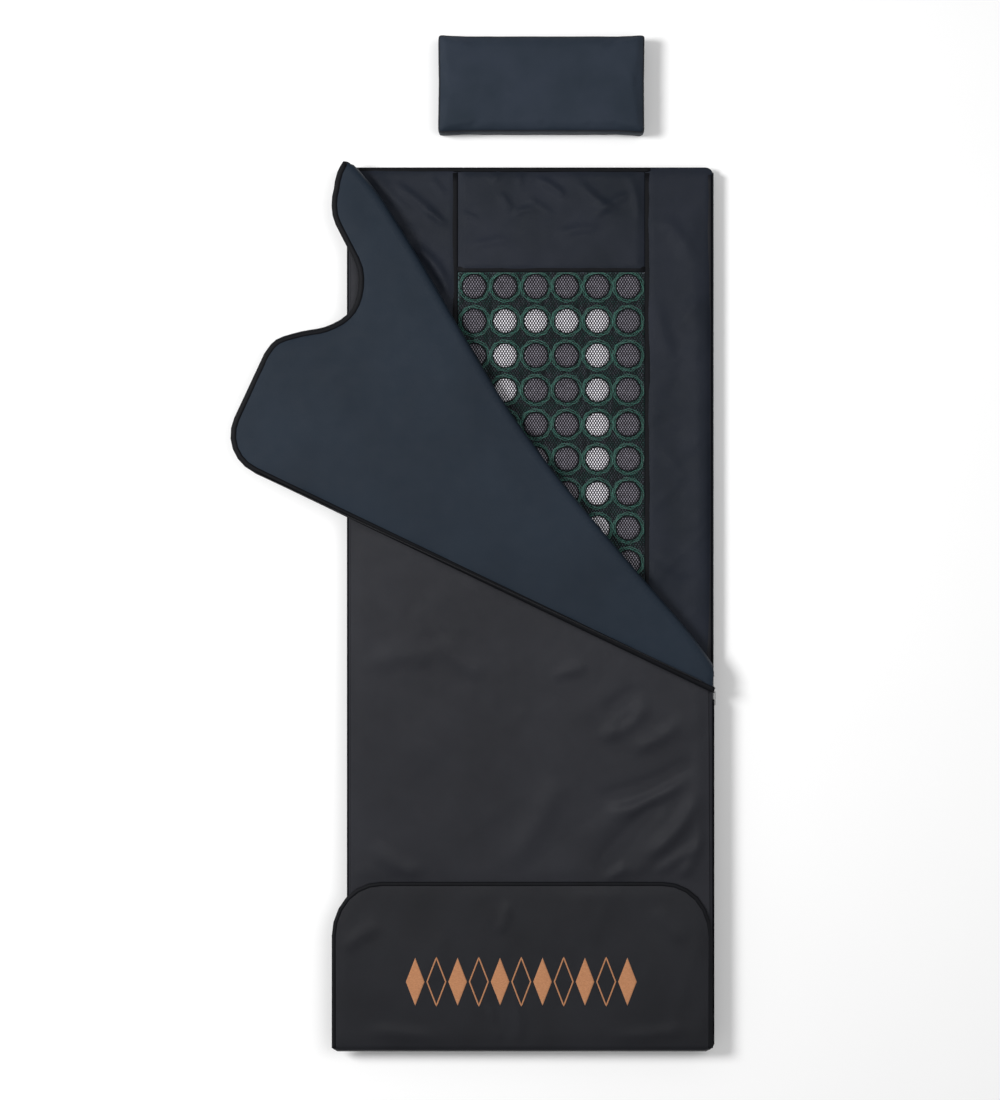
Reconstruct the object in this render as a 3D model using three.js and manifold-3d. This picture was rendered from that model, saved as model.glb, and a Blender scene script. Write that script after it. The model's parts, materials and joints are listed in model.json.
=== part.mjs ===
// Infrared sauna blanket, opened: a quilted base with a mat of stones, a cover that is folded back
// across the base, a flap at the foot end, the zip that closes the side, and a neck pillow.
// Millimetres. +X is the user's left-hand side, +Y runs to the head end, +Z is up. The origin is
// the middle of the base's underside.

import * as THREE from 'three';
import { mergeVertices } from 'three/addons/utils/BufferGeometryUtils.js';
import Module from 'manifold-3d';

const wasm = await Module();
wasm.setup();

// ---- Driving dimensions -------------------------------------------------------------------------

const GAP = 0.3; // between neighbouring pieces

const BASE_HALF_WIDTH = 371.5;
const BASE_HALF_LENGTH = 898;
const BASE_CORNER_RADIUS = 14;
const SHELL_THICKNESS = 1.5;
const RIM_HEIGHT = 22;

const MAT_LEFT = -149;
const MAT_RIGHT = 234;
const MAT_HEAD = 686;
const MAT_FOOT = -436;
const TAPE_WIDTH = 11;
const STONE_RADIUS = 24;
const STONE_PITCH_X = 63.4;
const STONE_PITCH_Y = 70.5;
const STONES_PER_ROW = 6;
const STONE_ROWS = 16;
const FIRST_ROW_Y = 656;

const FOLD_ANGLE = THREE.MathUtils.degToRad(57.5); // of the fold line, from -X towards +Y
const FOLD_FOOT = new THREE.Vector2(375, -164); // where the fold line leaves the right side
const FOLD_HALF_WIDTH = 14; // the soft strip on either side of the fold line

const COVER_BOTTOM = 38.3; // underside of the closed cover's lining
const LINING_THICKNESS = 1;
const RIBBON_THICKNESS = 1.6;
const COVER_PAD_THICKNESS = 6.8;
const COVER_SHELL_THICKNESS = 1.2;
const FOLD_GAP = 2.2; // between the stationary cover and the flap that lies on it

const COVER_RIGHT = 371.5;
const COVER_FOOT = -896.5;
const COVER_HEAD = 902;
const SHOULDER_TOP = 952;
const SHOULDER_RADIUS = 82;

const ZIP_TAPE_THICKNESS = 1.2;
const ZIP_MEETING_HEIGHT = 29.85;
const ZIP_TOOTH_HEIGHT = 1.8;
const ZIP_TOOTH_DEPTH = 1.2;
const SLIDER_Y = -168;

const FOOT_FLAP_LEFT = -403;
const FOOT_FLAP_RIGHT = 368;
const FOOT_FLAP_TOP = -566;
const FOOT_FLAP_RADIUS = 100;
const FOOT_HINGE_Y = -901;
const FOOT_HINGE_Z = 28.4;
const BINDING_WIDTH = 9;
const BINDING_THICKNESS = 0.8;

const PILLOW = { left: -190, right: 234, foot: 966, head: 1166, thickness: 55, radius: 16 };

// Heights of the cover's layers, from its lining up to its outer shell, with the bag closed.
const coverLayers = stackLayers(COVER_BOTTOM, {
  lining: LINING_THICKNESS,
  ribbon: RIBBON_THICKNESS,
  pad: COVER_PAD_THICKNESS,
  shell: COVER_SHELL_THICKNESS,
});
const COVER_TOP = coverLayers.shell[1];
const FOLD_AXIS_Z = COVER_TOP + FOLD_GAP / 2;

// ---- Colours ------------------------------------------------------------------------------------

const finishes = {
  shell: [0x2f3035, 0.75, 0],
  lining: [0x323942, 0.7, 0],
  tape: [0x15171c, 0.6, 0],
  padding: [0xd9d6cd, 0.95, 0],
  foil: [0xc8ccd0, 0.3, 1],
  carrier: [0x8f8a7c, 0.9, 0],
  ribbon: [0x1d1d1f, 0.5, 0],
  stone: [0x49464b, 0.45, 0],
  matting: [0x2b3a3b, 0.8, 0],
  net: [0x23282b, 0.6, 0],
  plastic: [0x1b1c1f, 0.45, 0],
  metal: [0xb9b9bb, 0.3, 1],
  pillow: [0x343b42, 0.8, 0],
  foam: [0xe6e0c8, 0.95, 0],
};

// ---- Helpers ------------------------------------------------------------------------------------

const blanket = new THREE.Group();

function addPiece(name, geometry, finish, parent = blanket) {
  const [color, roughness, metalness] = finishes[finish];
  const mesh = new THREE.Mesh(geometry, new THREE.MeshStandardMaterial({ color, roughness, metalness }));
  mesh.name = name;
  parent.add(mesh);
  return mesh;
}

function stackLayers(bottom, thicknesses) {
  const layers = {};
  let z = bottom;
  for (const [name, thickness] of Object.entries(thicknesses)) {
    layers[name] = [z, z + thickness];
    z += thickness + GAP;
  }
  return layers;
}

function block(x0, x1, y0, y1, z0, z1) {
  const geometry = new THREE.BoxGeometry(x1 - x0, y1 - y0, z1 - z0);
  return geometry.translate((x0 + x1) / 2, (y0 + y1) / 2, (z0 + z1) / 2);
}

function plate(points, z0, z1) {
  const shape = Array.isArray(points) ? new THREE.Shape(points) : points;
  const options = { depth: z1 - z0, bevelEnabled: false, curveSegments: 5 };
  return new THREE.ExtrudeGeometry(shape, options).translate(0, 0, z0);
}

function roundedRectangle(x0, x1, y0, y1, radius, segments = 4) {
  const corners = [[x1 - radius, y0 + radius, -90], [x1 - radius, y1 - radius, 0],
    [x0 + radius, y1 - radius, 90], [x0 + radius, y0 + radius, 180]];
  return corners.flatMap(([x, y, start]) => arcPoints(x, y, radius, start, start + 90, segments));
}

function arcPoints(x, y, radius, startDegrees, endDegrees, segments) {
  const points = [];
  for (let i = 0; i <= segments; i += 1) {
    const a = THREE.MathUtils.degToRad(startDegrees + ((endDegrees - startDegrees) * i) / segments);
    points.push(new THREE.Vector2(x + radius * Math.cos(a), y + radius * Math.sin(a)));
  }
  return points;
}

// Moves an open or closed run of points sideways: positive is to the left of its direction.
function offsetRun(points, distance, closed = false) {
  const last = points.length - 1;
  return points.map((point, i) => {
    const before = points[i > 0 ? i - 1 : closed ? last : 0];
    const after = points[i < last ? i + 1 : closed ? 0 : last];
    const arriving = point.clone().sub(before);
    const leaving = after.clone().sub(point);
    const first = (arriving.length() > 0 ? arriving : leaving).normalize();
    const second = (leaving.length() > 0 ? leaving : first).clone().normalize();
    const bisector = first.clone().add(second).normalize();
    const reach = distance / Math.max(0.5, bisector.dot(first));
    return new THREE.Vector2(point.x - bisector.y * reach, point.y + bisector.x * reach);
  });
}

function band(run, width) {
  return [...run, ...offsetRun(run, width).reverse()];
}

function toSolid(geometry) {
  const bare = geometry.clone();
  bare.deleteAttribute('normal');
  bare.deleteAttribute('uv');
  const merged = mergeVertices(bare, 1e-4);
  const vertProperties = new Float32Array(merged.attributes.position.array);
  const triVerts = new Uint32Array(merged.index.array);
  return new wasm.Manifold(new wasm.Mesh({ numProp: 3, vertProperties, triVerts }));
}

function toGeometry(solid) {
  const { vertProperties, triVerts } = solid.getMesh();
  const geometry = new THREE.BufferGeometry();
  geometry.setAttribute('position', new THREE.BufferAttribute(new Float32Array(vertProperties), 3));
  geometry.setIndex(new THREE.BufferAttribute(new Uint32Array(triVerts), 1));
  geometry.computeVertexNormals();
  return geometry;
}

function join(...geometries) {
  return toGeometry(geometries.map(toSolid).reduce((whole, part) => whole.add(part)));
}

function overlapOf(first, second) {
  return toGeometry(toSolid(first).intersect(toSolid(second)));
}

function cut(geometry, ...tools) {
  return toGeometry(tools.map(toSolid).reduce((whole, tool) => whole.subtract(tool), toSolid(geometry)));
}

// ---- The fold line ------------------------------------------------------------------------------

const foldAlong = new THREE.Vector2(-Math.cos(FOLD_ANGLE), Math.sin(FOLD_ANGLE));
const foldAcross = new THREE.Vector2(-Math.sin(FOLD_ANGLE), -Math.cos(FOLD_ANGLE));

function foldPoint(along, across) {
  return FOLD_FOOT.clone().addScaledVector(foldAlong, along).addScaledVector(foldAcross, across);
}

function foldedOver(point) {
  const across = point.clone().sub(FOLD_FOOT).dot(foldAcross);
  return point.clone().addScaledVector(foldAcross, -2 * across);
}

function foldPointAtX(x, across) {
  return foldPoint((FOLD_FOOT.x + across * foldAcross.x - x) / -foldAlong.x, across);
}

function foldPointAtY(y, across) {
  return foldPoint((y - FOLD_FOOT.y - across * foldAcross.y) / foldAlong.y, across);
}

// ---- Base: layers from the floor up -------------------------------------------------------------

const baseLayers = stackLayers(SHELL_THICKNESS + GAP, {
  pad: 9.7,
  foil: 0.5,
  carrier: 1.2,
  ribbon: RIBBON_THICKNESS,
  felt: 3.4,
});
const LINING_BASE_Z = baseLayers.felt[1] + GAP;
const MAT_LAYERS = stackLayers(LINING_BASE_Z, { backing: 1.5, stone: 6.5, net: 0.6 });

function baseInset(inset) {
  const half = BASE_HALF_WIDTH - inset;
  const length = BASE_HALF_LENGTH - inset;
  return roundedRectangle(-half, half, -length, length, Math.max(4, BASE_CORNER_RADIUS - inset));
}

function serpentine(columns) {
  const points = columns.flatMap(({ x, low, high }, i) => {
    const ends = i % 2 === 0 ? [low, high] : [high, low];
    return ends.map((y) => new THREE.Vector2(x, y));
  });
  return points;
}

function ribbonPlate(points, [z0, z1]) {
  const halfWidth = 2.5;
  const left = offsetRun(points, halfWidth);
  const right = offsetRun(points, -halfWidth).reverse();
  return plate([...left, ...right], z0, z1);
}

function addBaseLayers() {
  const inside = baseInset(SHELL_THICKNESS);
  const hollow = plate(inside, SHELL_THICKNESS, RIM_HEIGHT + 1);
  addPiece('base_outer_shell', cut(plate(baseInset(0), 0, RIM_HEIGHT), hollow), 'shell');

  const layerOutline = baseInset(SHELL_THICKNESS + 1);
  const [padBottom, padTop] = baseLayers.pad;
  const pocketDepth = 7.5;
  const pocketFor = ([x, y], width, length) => block(x - width / 2, x + width / 2,
    y - length / 2, y + length / 2, padTop - pocketDepth, padTop + 1);
  const cutoutPlace = [-250, -700];
  const sensorPlace = [40, 60];
  const pad = cut(plate(layerOutline, padBottom, padTop),
    pocketFor(cutoutPlace, 22, 40), pocketFor(sensorPlace, 12, 20));
  addPiece('base_insulation_pad', pad, 'padding');
  const inPocket = ([x, y], width, length) => block(x - width / 2, x + width / 2,
    y - length / 2, y + length / 2, padTop - pocketDepth + GAP, padTop - GAP);
  addPiece('thermal_cutout', inPocket(cutoutPlace, 20, 38), 'plastic');
  addPiece('temperature_sensor', inPocket(sensorPlace, 10, 18), 'metal');

  addPiece('base_reflective_foil', plate(layerOutline, ...baseLayers.foil), 'foil');
  addPiece('base_heater_carrier', plate(layerOutline, ...baseLayers.carrier), 'carrier');
  const columns = [];
  for (let x = -320; x <= 320; x += 80) columns.push({ x, low: -840, high: 840 });
  addPiece('base_heating_ribbon', ribbonPlate(serpentine(columns), baseLayers.ribbon), 'ribbon');
  addPiece('base_heat_spreader_felt', plate(layerOutline, ...baseLayers.felt), 'carrier');
}

function addBaseLining() {
  const edge = BASE_HALF_WIDTH - SHELL_THICKNESS - GAP;
  const end = BASE_HALF_LENGTH - SHELL_THICKNESS - GAP;
  const z0 = LINING_BASE_Z;
  const z1 = z0 + 2;
  const leftSeam = MAT_LEFT - GAP;
  const rightSeam = MAT_RIGHT + GAP;
  const insideRim = plate(baseInset(SHELL_THICKNESS + GAP), z0 - 1, z1 + 1);
  const panel = (x0, x1) => overlapOf(block(x0, x1, -end, end, z0, z1), insideRim);
  addPiece('lining_left_panel', panel(-edge, leftSeam), 'lining');
  addPiece('lining_right_panel', panel(rightSeam, edge), 'lining');
  addPiece('lining_head_panel', block(MAT_LEFT, MAT_RIGHT, MAT_HEAD + GAP, end, z0, z1), 'lining');
  addPiece('lining_foot_panel', block(MAT_LEFT, MAT_RIGHT, -end, MAT_FOOT - GAP, z0, z1), 'lining');

  const bindingBottom = RIM_HEIGHT + GAP;
  const bindingTop = z1 + GAP + 0.7;
  const bindingInner = BASE_HALF_LENGTH - BINDING_WIDTH;
  const bindingOver = block(-edge, MAT_RIGHT + TAPE_WIDTH, bindingInner, BASE_HALF_LENGTH,
    z1 + GAP, bindingTop);
  const bindingLip = block(-edge, MAT_RIGHT + TAPE_WIDTH, BASE_HALF_LENGTH - SHELL_THICKNESS,
    BASE_HALF_LENGTH, bindingBottom, bindingTop);
  addPiece('head_edge_binding', join(bindingOver, bindingLip), 'tape');

  const tapeBottom = z1 + GAP;
  const tapeTop = tapeBottom + 0.8;
  const headEnd = bindingInner - GAP;
  addPiece('mat_tape_left',
    block(MAT_LEFT - TAPE_WIDTH, MAT_LEFT - GAP, -end, headEnd, tapeBottom, tapeTop), 'tape');
  addPiece('mat_tape_right',
    block(MAT_RIGHT + GAP, MAT_RIGHT + TAPE_WIDTH, -end, headEnd, tapeBottom, tapeTop), 'tape');
  addPiece('mat_tape_head',
    block(MAT_LEFT, MAT_RIGHT, MAT_HEAD + GAP, MAT_HEAD + TAPE_WIDTH, tapeBottom, tapeTop), 'tape');
}

function stoneRow(z0, z1) {
  const middle = (MAT_LEFT + MAT_RIGHT) / 2;
  const firstX = middle - (STONE_PITCH_X * (STONES_PER_ROW - 1)) / 2;
  const sides = 10;
  const pieces = [];
  for (let i = 0; i < STONES_PER_ROW; i += 1) {
    const x = firstX + i * STONE_PITCH_X;
    const rim = arcPoints(x, 0, STONE_RADIUS, 18, 378 - 360 / sides, sides - 1);
    pieces.push(plate(rim, z0, z1));
    if (i > 0) pieces.push(block(x - STONE_PITCH_X + 20, x - 20, -5, 5, z0, z0 + 1));
  }
  return join(...pieces);
}

function addStoneMat() {
  const inset = GAP;
  const sheet = ([z0, z1]) => block(MAT_LEFT + inset, MAT_RIGHT - inset, MAT_FOOT + inset,
    MAT_HEAD - inset, z0, z1);
  addPiece('stone_mat_backing', sheet(MAT_LAYERS.backing), 'matting');
  const row = stoneRow(...MAT_LAYERS.stone);
  for (let i = 0; i < STONE_ROWS; i += 1) {
    const name = `stone_row_${String(i + 1).padStart(2, '0')}`;
    addPiece(name, row.clone(), 'stone').position.set(0, FIRST_ROW_Y - i * STONE_PITCH_Y, 0);
  }
  addPiece('stone_mat_net', sheet(MAT_LAYERS.net), 'net');
}

// ---- The side and the foot end of the bag -------------------------------------------------------

function addGussets() {
  const wall = 1.2;
  const z0 = RIM_HEIGHT + GAP;
  const inletY = -800;
  addPiece('left_side_gusset', block(-BASE_HALF_WIDTH - wall, -BASE_HALF_WIDTH,
    -BASE_HALF_LENGTH + wall + GAP, COVER_HEAD, z0, COVER_TOP), 'shell');
  addPiece('foot_end_gusset', block(-BASE_HALF_WIDTH - wall, BASE_HALF_WIDTH,
    -BASE_HALF_LENGTH, -BASE_HALF_LENGTH + wall, z0, COVER_TOP), 'shell');
  addPowerInlet(-BASE_HALF_WIDTH - wall - GAP, inletY);
}

function addPowerInlet(face, y) {
  const depth = 14;
  const halfLength = 16;
  const z0 = 25;
  const z1 = 45;
  const wall = 3;
  const back = 3;
  const outer = block(face - depth, face, y - halfLength, y + halfLength, z0, z1);
  const socket = block(face - depth - 1, face - back, y - halfLength + wall, y + halfLength - wall,
    z0 + wall, z1 - wall);
  addPiece('power_inlet_housing', cut(outer, socket), 'plastic');
  const plateFace = face - back - GAP;
  const carrier = block(plateFace - 1.5, plateFace, y - 10, y + 10, 30, 40);
  const pins = [-6, 0, 6].map((dy) => block(plateFace - 5, plateFace - 1, y + dy - 1, y + dy + 1, 34, 36));
  addPiece('power_inlet_contacts', join(carrier, ...pins), 'metal');
}

// ---- Zip ----------------------------------------------------------------------------------------

const TAPE_FACE = BASE_HALF_WIDTH + GAP;

function zipTape(y0, y1, low, high, teethAtTop) {
  const outside = TAPE_FACE + ZIP_TAPE_THICKNESS;
  const tape = block(TAPE_FACE, outside, y0, y1, low, high);
  const teethLow = teethAtTop ? high - ZIP_TOOTH_HEIGHT : low;
  const teeth = block(outside - 0.5, outside + ZIP_TOOTH_DEPTH, y0, y1,
    teethLow, teethLow + ZIP_TOOTH_HEIGHT);
  return join(tape, teeth);
}

function addZip() {
  const low = ZIP_MEETING_HEIGHT - GAP / 2;
  const high = ZIP_MEETING_HEIGHT + GAP / 2;
  const end = BASE_HALF_LENGTH - 10;
  addPiece('zip_tape_base', zipTape(-end, end, 6, low, true), 'tape');
  const coverEnd = foldPointAtX(COVER_RIGHT, FOLD_HALF_WIDTH).y - 2;
  addPiece('zip_tape_lower_cover', zipTape(-end, coverEnd, high, COVER_TOP, false), 'tape');

  const flapStart = foldPointAtX(COVER_RIGHT, -FOLD_HALF_WIDTH).y + 2;
  const flapTape = zipTape(flapStart, SHOULDER_TOP - SHOULDER_RADIUS - 2, high, COVER_TOP, false);
  addPiece('zip_tape_flap', flapTape, 'tape', foldedBack);
}

// The slider straddles both rows of teeth from the outside; its tab turns about a pin along Z.
function addZipSlider() {
  const teethOutside = TAPE_FACE + ZIP_TAPE_THICKNESS + ZIP_TOOTH_DEPTH;
  const lipInside = TAPE_FACE + ZIP_TAPE_THICKNESS + GAP;
  const outerFace = teethOutside + GAP + 1.4;
  const halfLength = 7;
  const halfHeight = ZIP_TOOTH_HEIGHT + GAP / 2 + GAP + 0.8;
  const y0 = SLIDER_Y - halfLength;
  const y1 = SLIDER_Y + halfLength;
  const body = block(lipInside, outerFace, y0, y1,
    ZIP_MEETING_HEIGHT - halfHeight, ZIP_MEETING_HEIGHT + halfHeight);
  const channel = block(lipInside - 1, teethOutside + GAP, y0 - 1, y1 + 1,
    ZIP_MEETING_HEIGHT - halfHeight + 0.8, ZIP_MEETING_HEIGHT + halfHeight - 0.8);
  addPiece('zip_slider', cut(body, channel), 'metal');

  const tabThickness = 1.1;
  const tabInside = outerFace + GAP;
  const tabPin = SLIDER_Y - 3.55;
  const tab = block(tabInside, tabInside + tabThickness, tabPin - 28, tabPin + tabThickness / 2,
    ZIP_MEETING_HEIGHT - 3, ZIP_MEETING_HEIGHT + 3);
  const hole = block(tabInside - 1, tabInside + tabThickness + 1, tabPin - 24, tabPin - 16,
    ZIP_MEETING_HEIGHT - 1.5, ZIP_MEETING_HEIGHT + 1.5);
  addPiece('zip_pull_tab', cut(tab, hole), 'metal');
}

// ---- Cover: the part that stays on the base -----------------------------------------------------

// The stationary part's outline, anticlockwise. "sides" insets the three sewn sides and "fold"
// is the distance kept from the fold line.
function lowerCoverOutline(sides, fold) {
  const right = COVER_RIGHT - sides;
  const foot = COVER_FOOT + sides;
  const head = COVER_HEAD - sides;
  const left = -BASE_HALF_WIDTH + GAP + sides;
  const foldAtHead = foldPointAtY(head, fold);
  const headCorner = foldAtHead.x > left
    ? [foldAtHead, new THREE.Vector2(left, head)]
    : [foldPointAtX(left, fold)];
  return [
    foldPointAtX(right, fold),
    ...headCorner,
    new THREE.Vector2(left, foot),
    new THREE.Vector2(right, foot),
  ];
}

const INNER_FOLD_INSET = 62; // heater and padding stop short of the fold

function addLowerCover() {
  const full = lowerCoverOutline(0, FOLD_HALF_WIDTH);
  addPiece('lower_cover_shell', plate(full, ...coverLayers.shell), 'shell');
  addPiece('lower_cover_padding',
    plate(lowerCoverOutline(10, INNER_FOLD_INSET), ...coverLayers.pad), 'padding');
  addPiece('lower_cover_lining', plate(full, ...coverLayers.lining), 'lining');
  const columns = [];
  for (let x = -320; x <= 240; x += 80) {
    columns.push({ x, low: -840, high: Math.min(840, foldPointAtX(x, INNER_FOLD_INSET + 12).y) });
  }
  addPiece('lower_cover_heating_ribbon', ribbonPlate(serpentine(columns), coverLayers.ribbon), 'ribbon');
}

// ---- Cover: the flap beyond the fold ------------------------------------------------------------

// The free edge of the flap as it lies when the bag is closed: up the right side, round the
// shoulder, along the head edge, through the neck cut-out and back to the fold.
const neckLine = [[146, SHOULDER_TOP], [110, 942], [74, 903], [45, 863], [5, 834], [-40, 831],
  [-90, 853], [-130, 901], [-168, 945], [-220, 966], [-284, 963]];

function flapFreeEdge(fold) {
  const shoulder = arcPoints(COVER_RIGHT - SHOULDER_RADIUS, SHOULDER_TOP - SHOULDER_RADIUS,
    SHOULDER_RADIUS, 0, 90, 6);
  const neck = new THREE.SplineCurve(neckLine.map(([x, y]) => new THREE.Vector2(x, y)));
  return [
    foldPointAtX(COVER_RIGHT, -fold),
    ...shoulder,
    ...neck.getPoints(30),
    foldPointAtY(915, -fold),
  ];
}

function foldedOutline(points) {
  return points.map(foldedOver);
}

// Folding turns a layer upside down about the fold's axis.
function foldedHeights([z0, z1]) {
  return [2 * FOLD_AXIS_Z - z1, 2 * FOLD_AXIS_Z - z0];
}

// A group whose children are drawn as they lie when the bag is closed, and then folded back.
const foldedBack = new THREE.Group();
const foldAxis = new THREE.Vector3(foldAlong.x, foldAlong.y, 0);
foldedBack.quaternion.setFromAxisAngle(foldAxis, -Math.PI);
const foldCentre = new THREE.Vector3(FOLD_FOOT.x, FOLD_FOOT.y, FOLD_AXIS_Z);
foldedBack.position.copy(foldCentre).sub(foldCentre.clone().applyQuaternion(foldedBack.quaternion));
blanket.add(foldedBack);

function addFlap() {
  const outline = foldedOutline(flapFreeEdge(FOLD_HALF_WIDTH));
  addPiece('flap_shell', plate(outline, ...foldedHeights(coverLayers.shell)), 'shell');
  addPiece('flap_lining', plate(outline, ...foldedHeights(coverLayers.lining)), 'lining');

  const inner = offsetRun(flapFreeEdge(FOLD_HALF_WIDTH), 12);
  inner[0] = foldPointAtX(COVER_RIGHT - 12, -INNER_FOLD_INSET);
  inner[inner.length - 1] = foldPointAtY(912, -INNER_FOLD_INSET);
  addPiece('flap_padding', plate(foldedOutline(inner), ...foldedHeights(coverLayers.pad)), 'padding');

  const columns = [];
  for (let x = -120; x <= 320; x += 80) {
    const neckDrop = Math.abs(x + 20) < 130 ? 150 : 60;
    const low = foldPointAtX(x, -INNER_FOLD_INSET - 12).y;
    columns.push({ x, low, high: SHOULDER_TOP - neckDrop });
  }
  const ribbon = foldedOutline(serpentine(columns));
  addPiece('flap_heating_ribbon', ribbonPlate(ribbon, foldedHeights(coverLayers.ribbon)), 'ribbon');

  const edge = flapFreeEdge(FOLD_HALF_WIDTH);
  const top = foldedHeights(coverLayers.lining)[1] + GAP;
  addPiece('flap_edge_binding',
    plate(foldedOutline(band(edge, BINDING_WIDTH)), top, top + BINDING_THICKNESS), 'tape');
}

// The strip that bends round the fold and joins the two parts of the cover.
function addFoldStrip() {
  const outerRadius = FOLD_AXIS_Z - COVER_BOTTOM;
  const innerRadius = FOLD_GAP / 2;
  const centre = outerRadius;
  const end = FOLD_HALF_WIDTH - GAP;
  const section = [
    new THREE.Vector2(end, outerRadius),
    ...arcPoints(centre, 0, outerRadius, 90, 270, 8),
    new THREE.Vector2(end, -outerRadius),
    new THREE.Vector2(end, -innerRadius),
    ...arcPoints(centre, 0, innerRadius, 270, 90, 4),
    new THREE.Vector2(end, innerRadius),
  ];
  const start = 10;
  const finish = foldPointAtY(COVER_HEAD - 4, 0).distanceTo(FOLD_FOOT);
  const strip = plate(section, 0, finish - start);
  const across = new THREE.Vector3(foldAcross.x, foldAcross.y, 0);
  const up = new THREE.Vector3(0, 0, 1);
  const place = new THREE.Matrix4().makeBasis(across, up, new THREE.Vector3().crossVectors(across, up));
  const origin = foldPoint(start, 0);
  place.setPosition(origin.x, origin.y, FOLD_AXIS_Z);
  addPiece('cover_fold_strip', strip.applyMatrix4(place), 'lining');
}

// ---- Foot flap ----------------------------------------------------------------------------------

const FASTENER_THICKNESS = 0.6;
const loopBottom = COVER_TOP + GAP;
const hookBottom = loopBottom + FASTENER_THICKNESS + GAP;
const footFlapLayers = stackLayers(hookBottom + FASTENER_THICKNESS + GAP, {
  pad: 2,
  outer: 1.5,
  binding: BINDING_THICKNESS,
});

function footFlapEdge(inset) {
  const r = FOOT_FLAP_RADIUS - inset;
  const left = FOOT_FLAP_LEFT + inset;
  const right = FOOT_FLAP_RIGHT - inset;
  const top = FOOT_FLAP_TOP - inset;
  const foot = FOOT_HINGE_Y - 2.5;
  return [
    new THREE.Vector2(right, foot),
    ...arcPoints(right - r, top - r, r, 0, 90, 6),
    ...arcPoints(left + r, top - r, r, 90, 180, 6),
    new THREE.Vector2(left, foot),
  ];
}

function addFootFlap() {
  const [outerLow, outerHigh] = footFlapLayers.outer;
  const endBand = block(FOOT_FLAP_LEFT, FOOT_FLAP_RIGHT, FOOT_HINGE_Y - 2.5, FOOT_HINGE_Y - 1,
    FOOT_HINGE_Z, outerHigh);
  addPiece('foot_flap_outer', join(plate(footFlapEdge(0), outerLow, outerHigh), endBand), 'shell');
  const pad = footFlapEdge(6);
  pad[0].y = FOOT_HINGE_Y + 3;
  pad[pad.length - 1].y = FOOT_HINGE_Y + 3;
  addPiece('foot_flap_padding', plate(pad, ...footFlapLayers.pad), 'padding');
  addPiece('foot_flap_binding',
    plate(band(footFlapEdge(0), BINDING_WIDTH), ...footFlapLayers.binding), 'tape');

  const strip = (z0) => block(-280, 260, FOOT_FLAP_TOP - 45, FOOT_FLAP_TOP - 20, z0,
    z0 + FASTENER_THICKNESS);
  addPiece('foot_flap_hook_strip', strip(hookBottom), 'tape');
  addPiece('cover_loop_strip', strip(loopBottom), 'tape');
}

// ---- Pillow -------------------------------------------------------------------------------------

function addPillow() {
  const { left, right, foot, head, thickness, radius } = PILLOW;
  const length = right - left;
  const depth = head - foot;
  const bevel = 12;
  const skin = 1.5;
  const pillowSolid = (inset) => {
    const flat = roundedRectangle(-length / 2 + bevel, length / 2 - bevel,
      -depth / 2 + bevel, depth / 2 - bevel, radius, 3);
    const size = bevel - inset;
    const options = { depth: thickness - 2 * bevel, bevelEnabled: true, bevelThickness: size,
      bevelSize: size, bevelSegments: 2, curveSegments: 2 };
    const geometry = new THREE.ExtrudeGeometry(new THREE.Shape(flat), options);
    return geometry.translate((left + right) / 2, (foot + head) / 2, bevel);
  };
  const zipMouth = block(left + 60, right - 60, head - 30, head + 5,
    thickness / 2 - 4, thickness / 2 + 4);
  addPiece('pillow_cover', cut(pillowSolid(0), pillowSolid(skin), zipMouth), 'pillow');
  addPiece('pillow_foam_core', pillowSolid(skin + GAP), 'foam');
}

addBaseLayers();
addBaseLining();
addStoneMat();
addGussets();
addLowerCover();
addFlap();
addFoldStrip();
addZip();
addZipSlider();
addFootFlap();
addPillow();

export default blanket;
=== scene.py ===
"""Infrared sauna blanket, opened: the looks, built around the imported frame. Metres, as in the frame."""

import json
import math

import bmesh
import bpy
import numpy as np
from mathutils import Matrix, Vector
from mathutils.bvhtree import BVHTree
from mathutils.geometry import delaunay_2d_cdt


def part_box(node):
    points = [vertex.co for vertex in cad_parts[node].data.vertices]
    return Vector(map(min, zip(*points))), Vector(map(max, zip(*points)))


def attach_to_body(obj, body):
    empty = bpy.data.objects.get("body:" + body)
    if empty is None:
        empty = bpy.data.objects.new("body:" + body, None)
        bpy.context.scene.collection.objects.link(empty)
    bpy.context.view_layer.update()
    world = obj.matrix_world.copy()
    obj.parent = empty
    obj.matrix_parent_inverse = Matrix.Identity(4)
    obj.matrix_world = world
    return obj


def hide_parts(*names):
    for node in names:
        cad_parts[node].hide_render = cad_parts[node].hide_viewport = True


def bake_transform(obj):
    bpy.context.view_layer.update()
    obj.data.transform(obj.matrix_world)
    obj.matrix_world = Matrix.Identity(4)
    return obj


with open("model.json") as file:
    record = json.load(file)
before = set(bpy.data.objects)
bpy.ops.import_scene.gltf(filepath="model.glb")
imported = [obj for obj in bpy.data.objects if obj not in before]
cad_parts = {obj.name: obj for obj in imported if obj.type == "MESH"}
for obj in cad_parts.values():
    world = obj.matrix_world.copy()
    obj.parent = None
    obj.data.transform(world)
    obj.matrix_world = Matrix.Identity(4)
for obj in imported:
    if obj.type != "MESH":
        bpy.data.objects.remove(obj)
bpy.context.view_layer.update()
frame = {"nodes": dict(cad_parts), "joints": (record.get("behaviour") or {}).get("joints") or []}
nodes = frame["nodes"]

# ---- Measures taken from the frame ----

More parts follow.
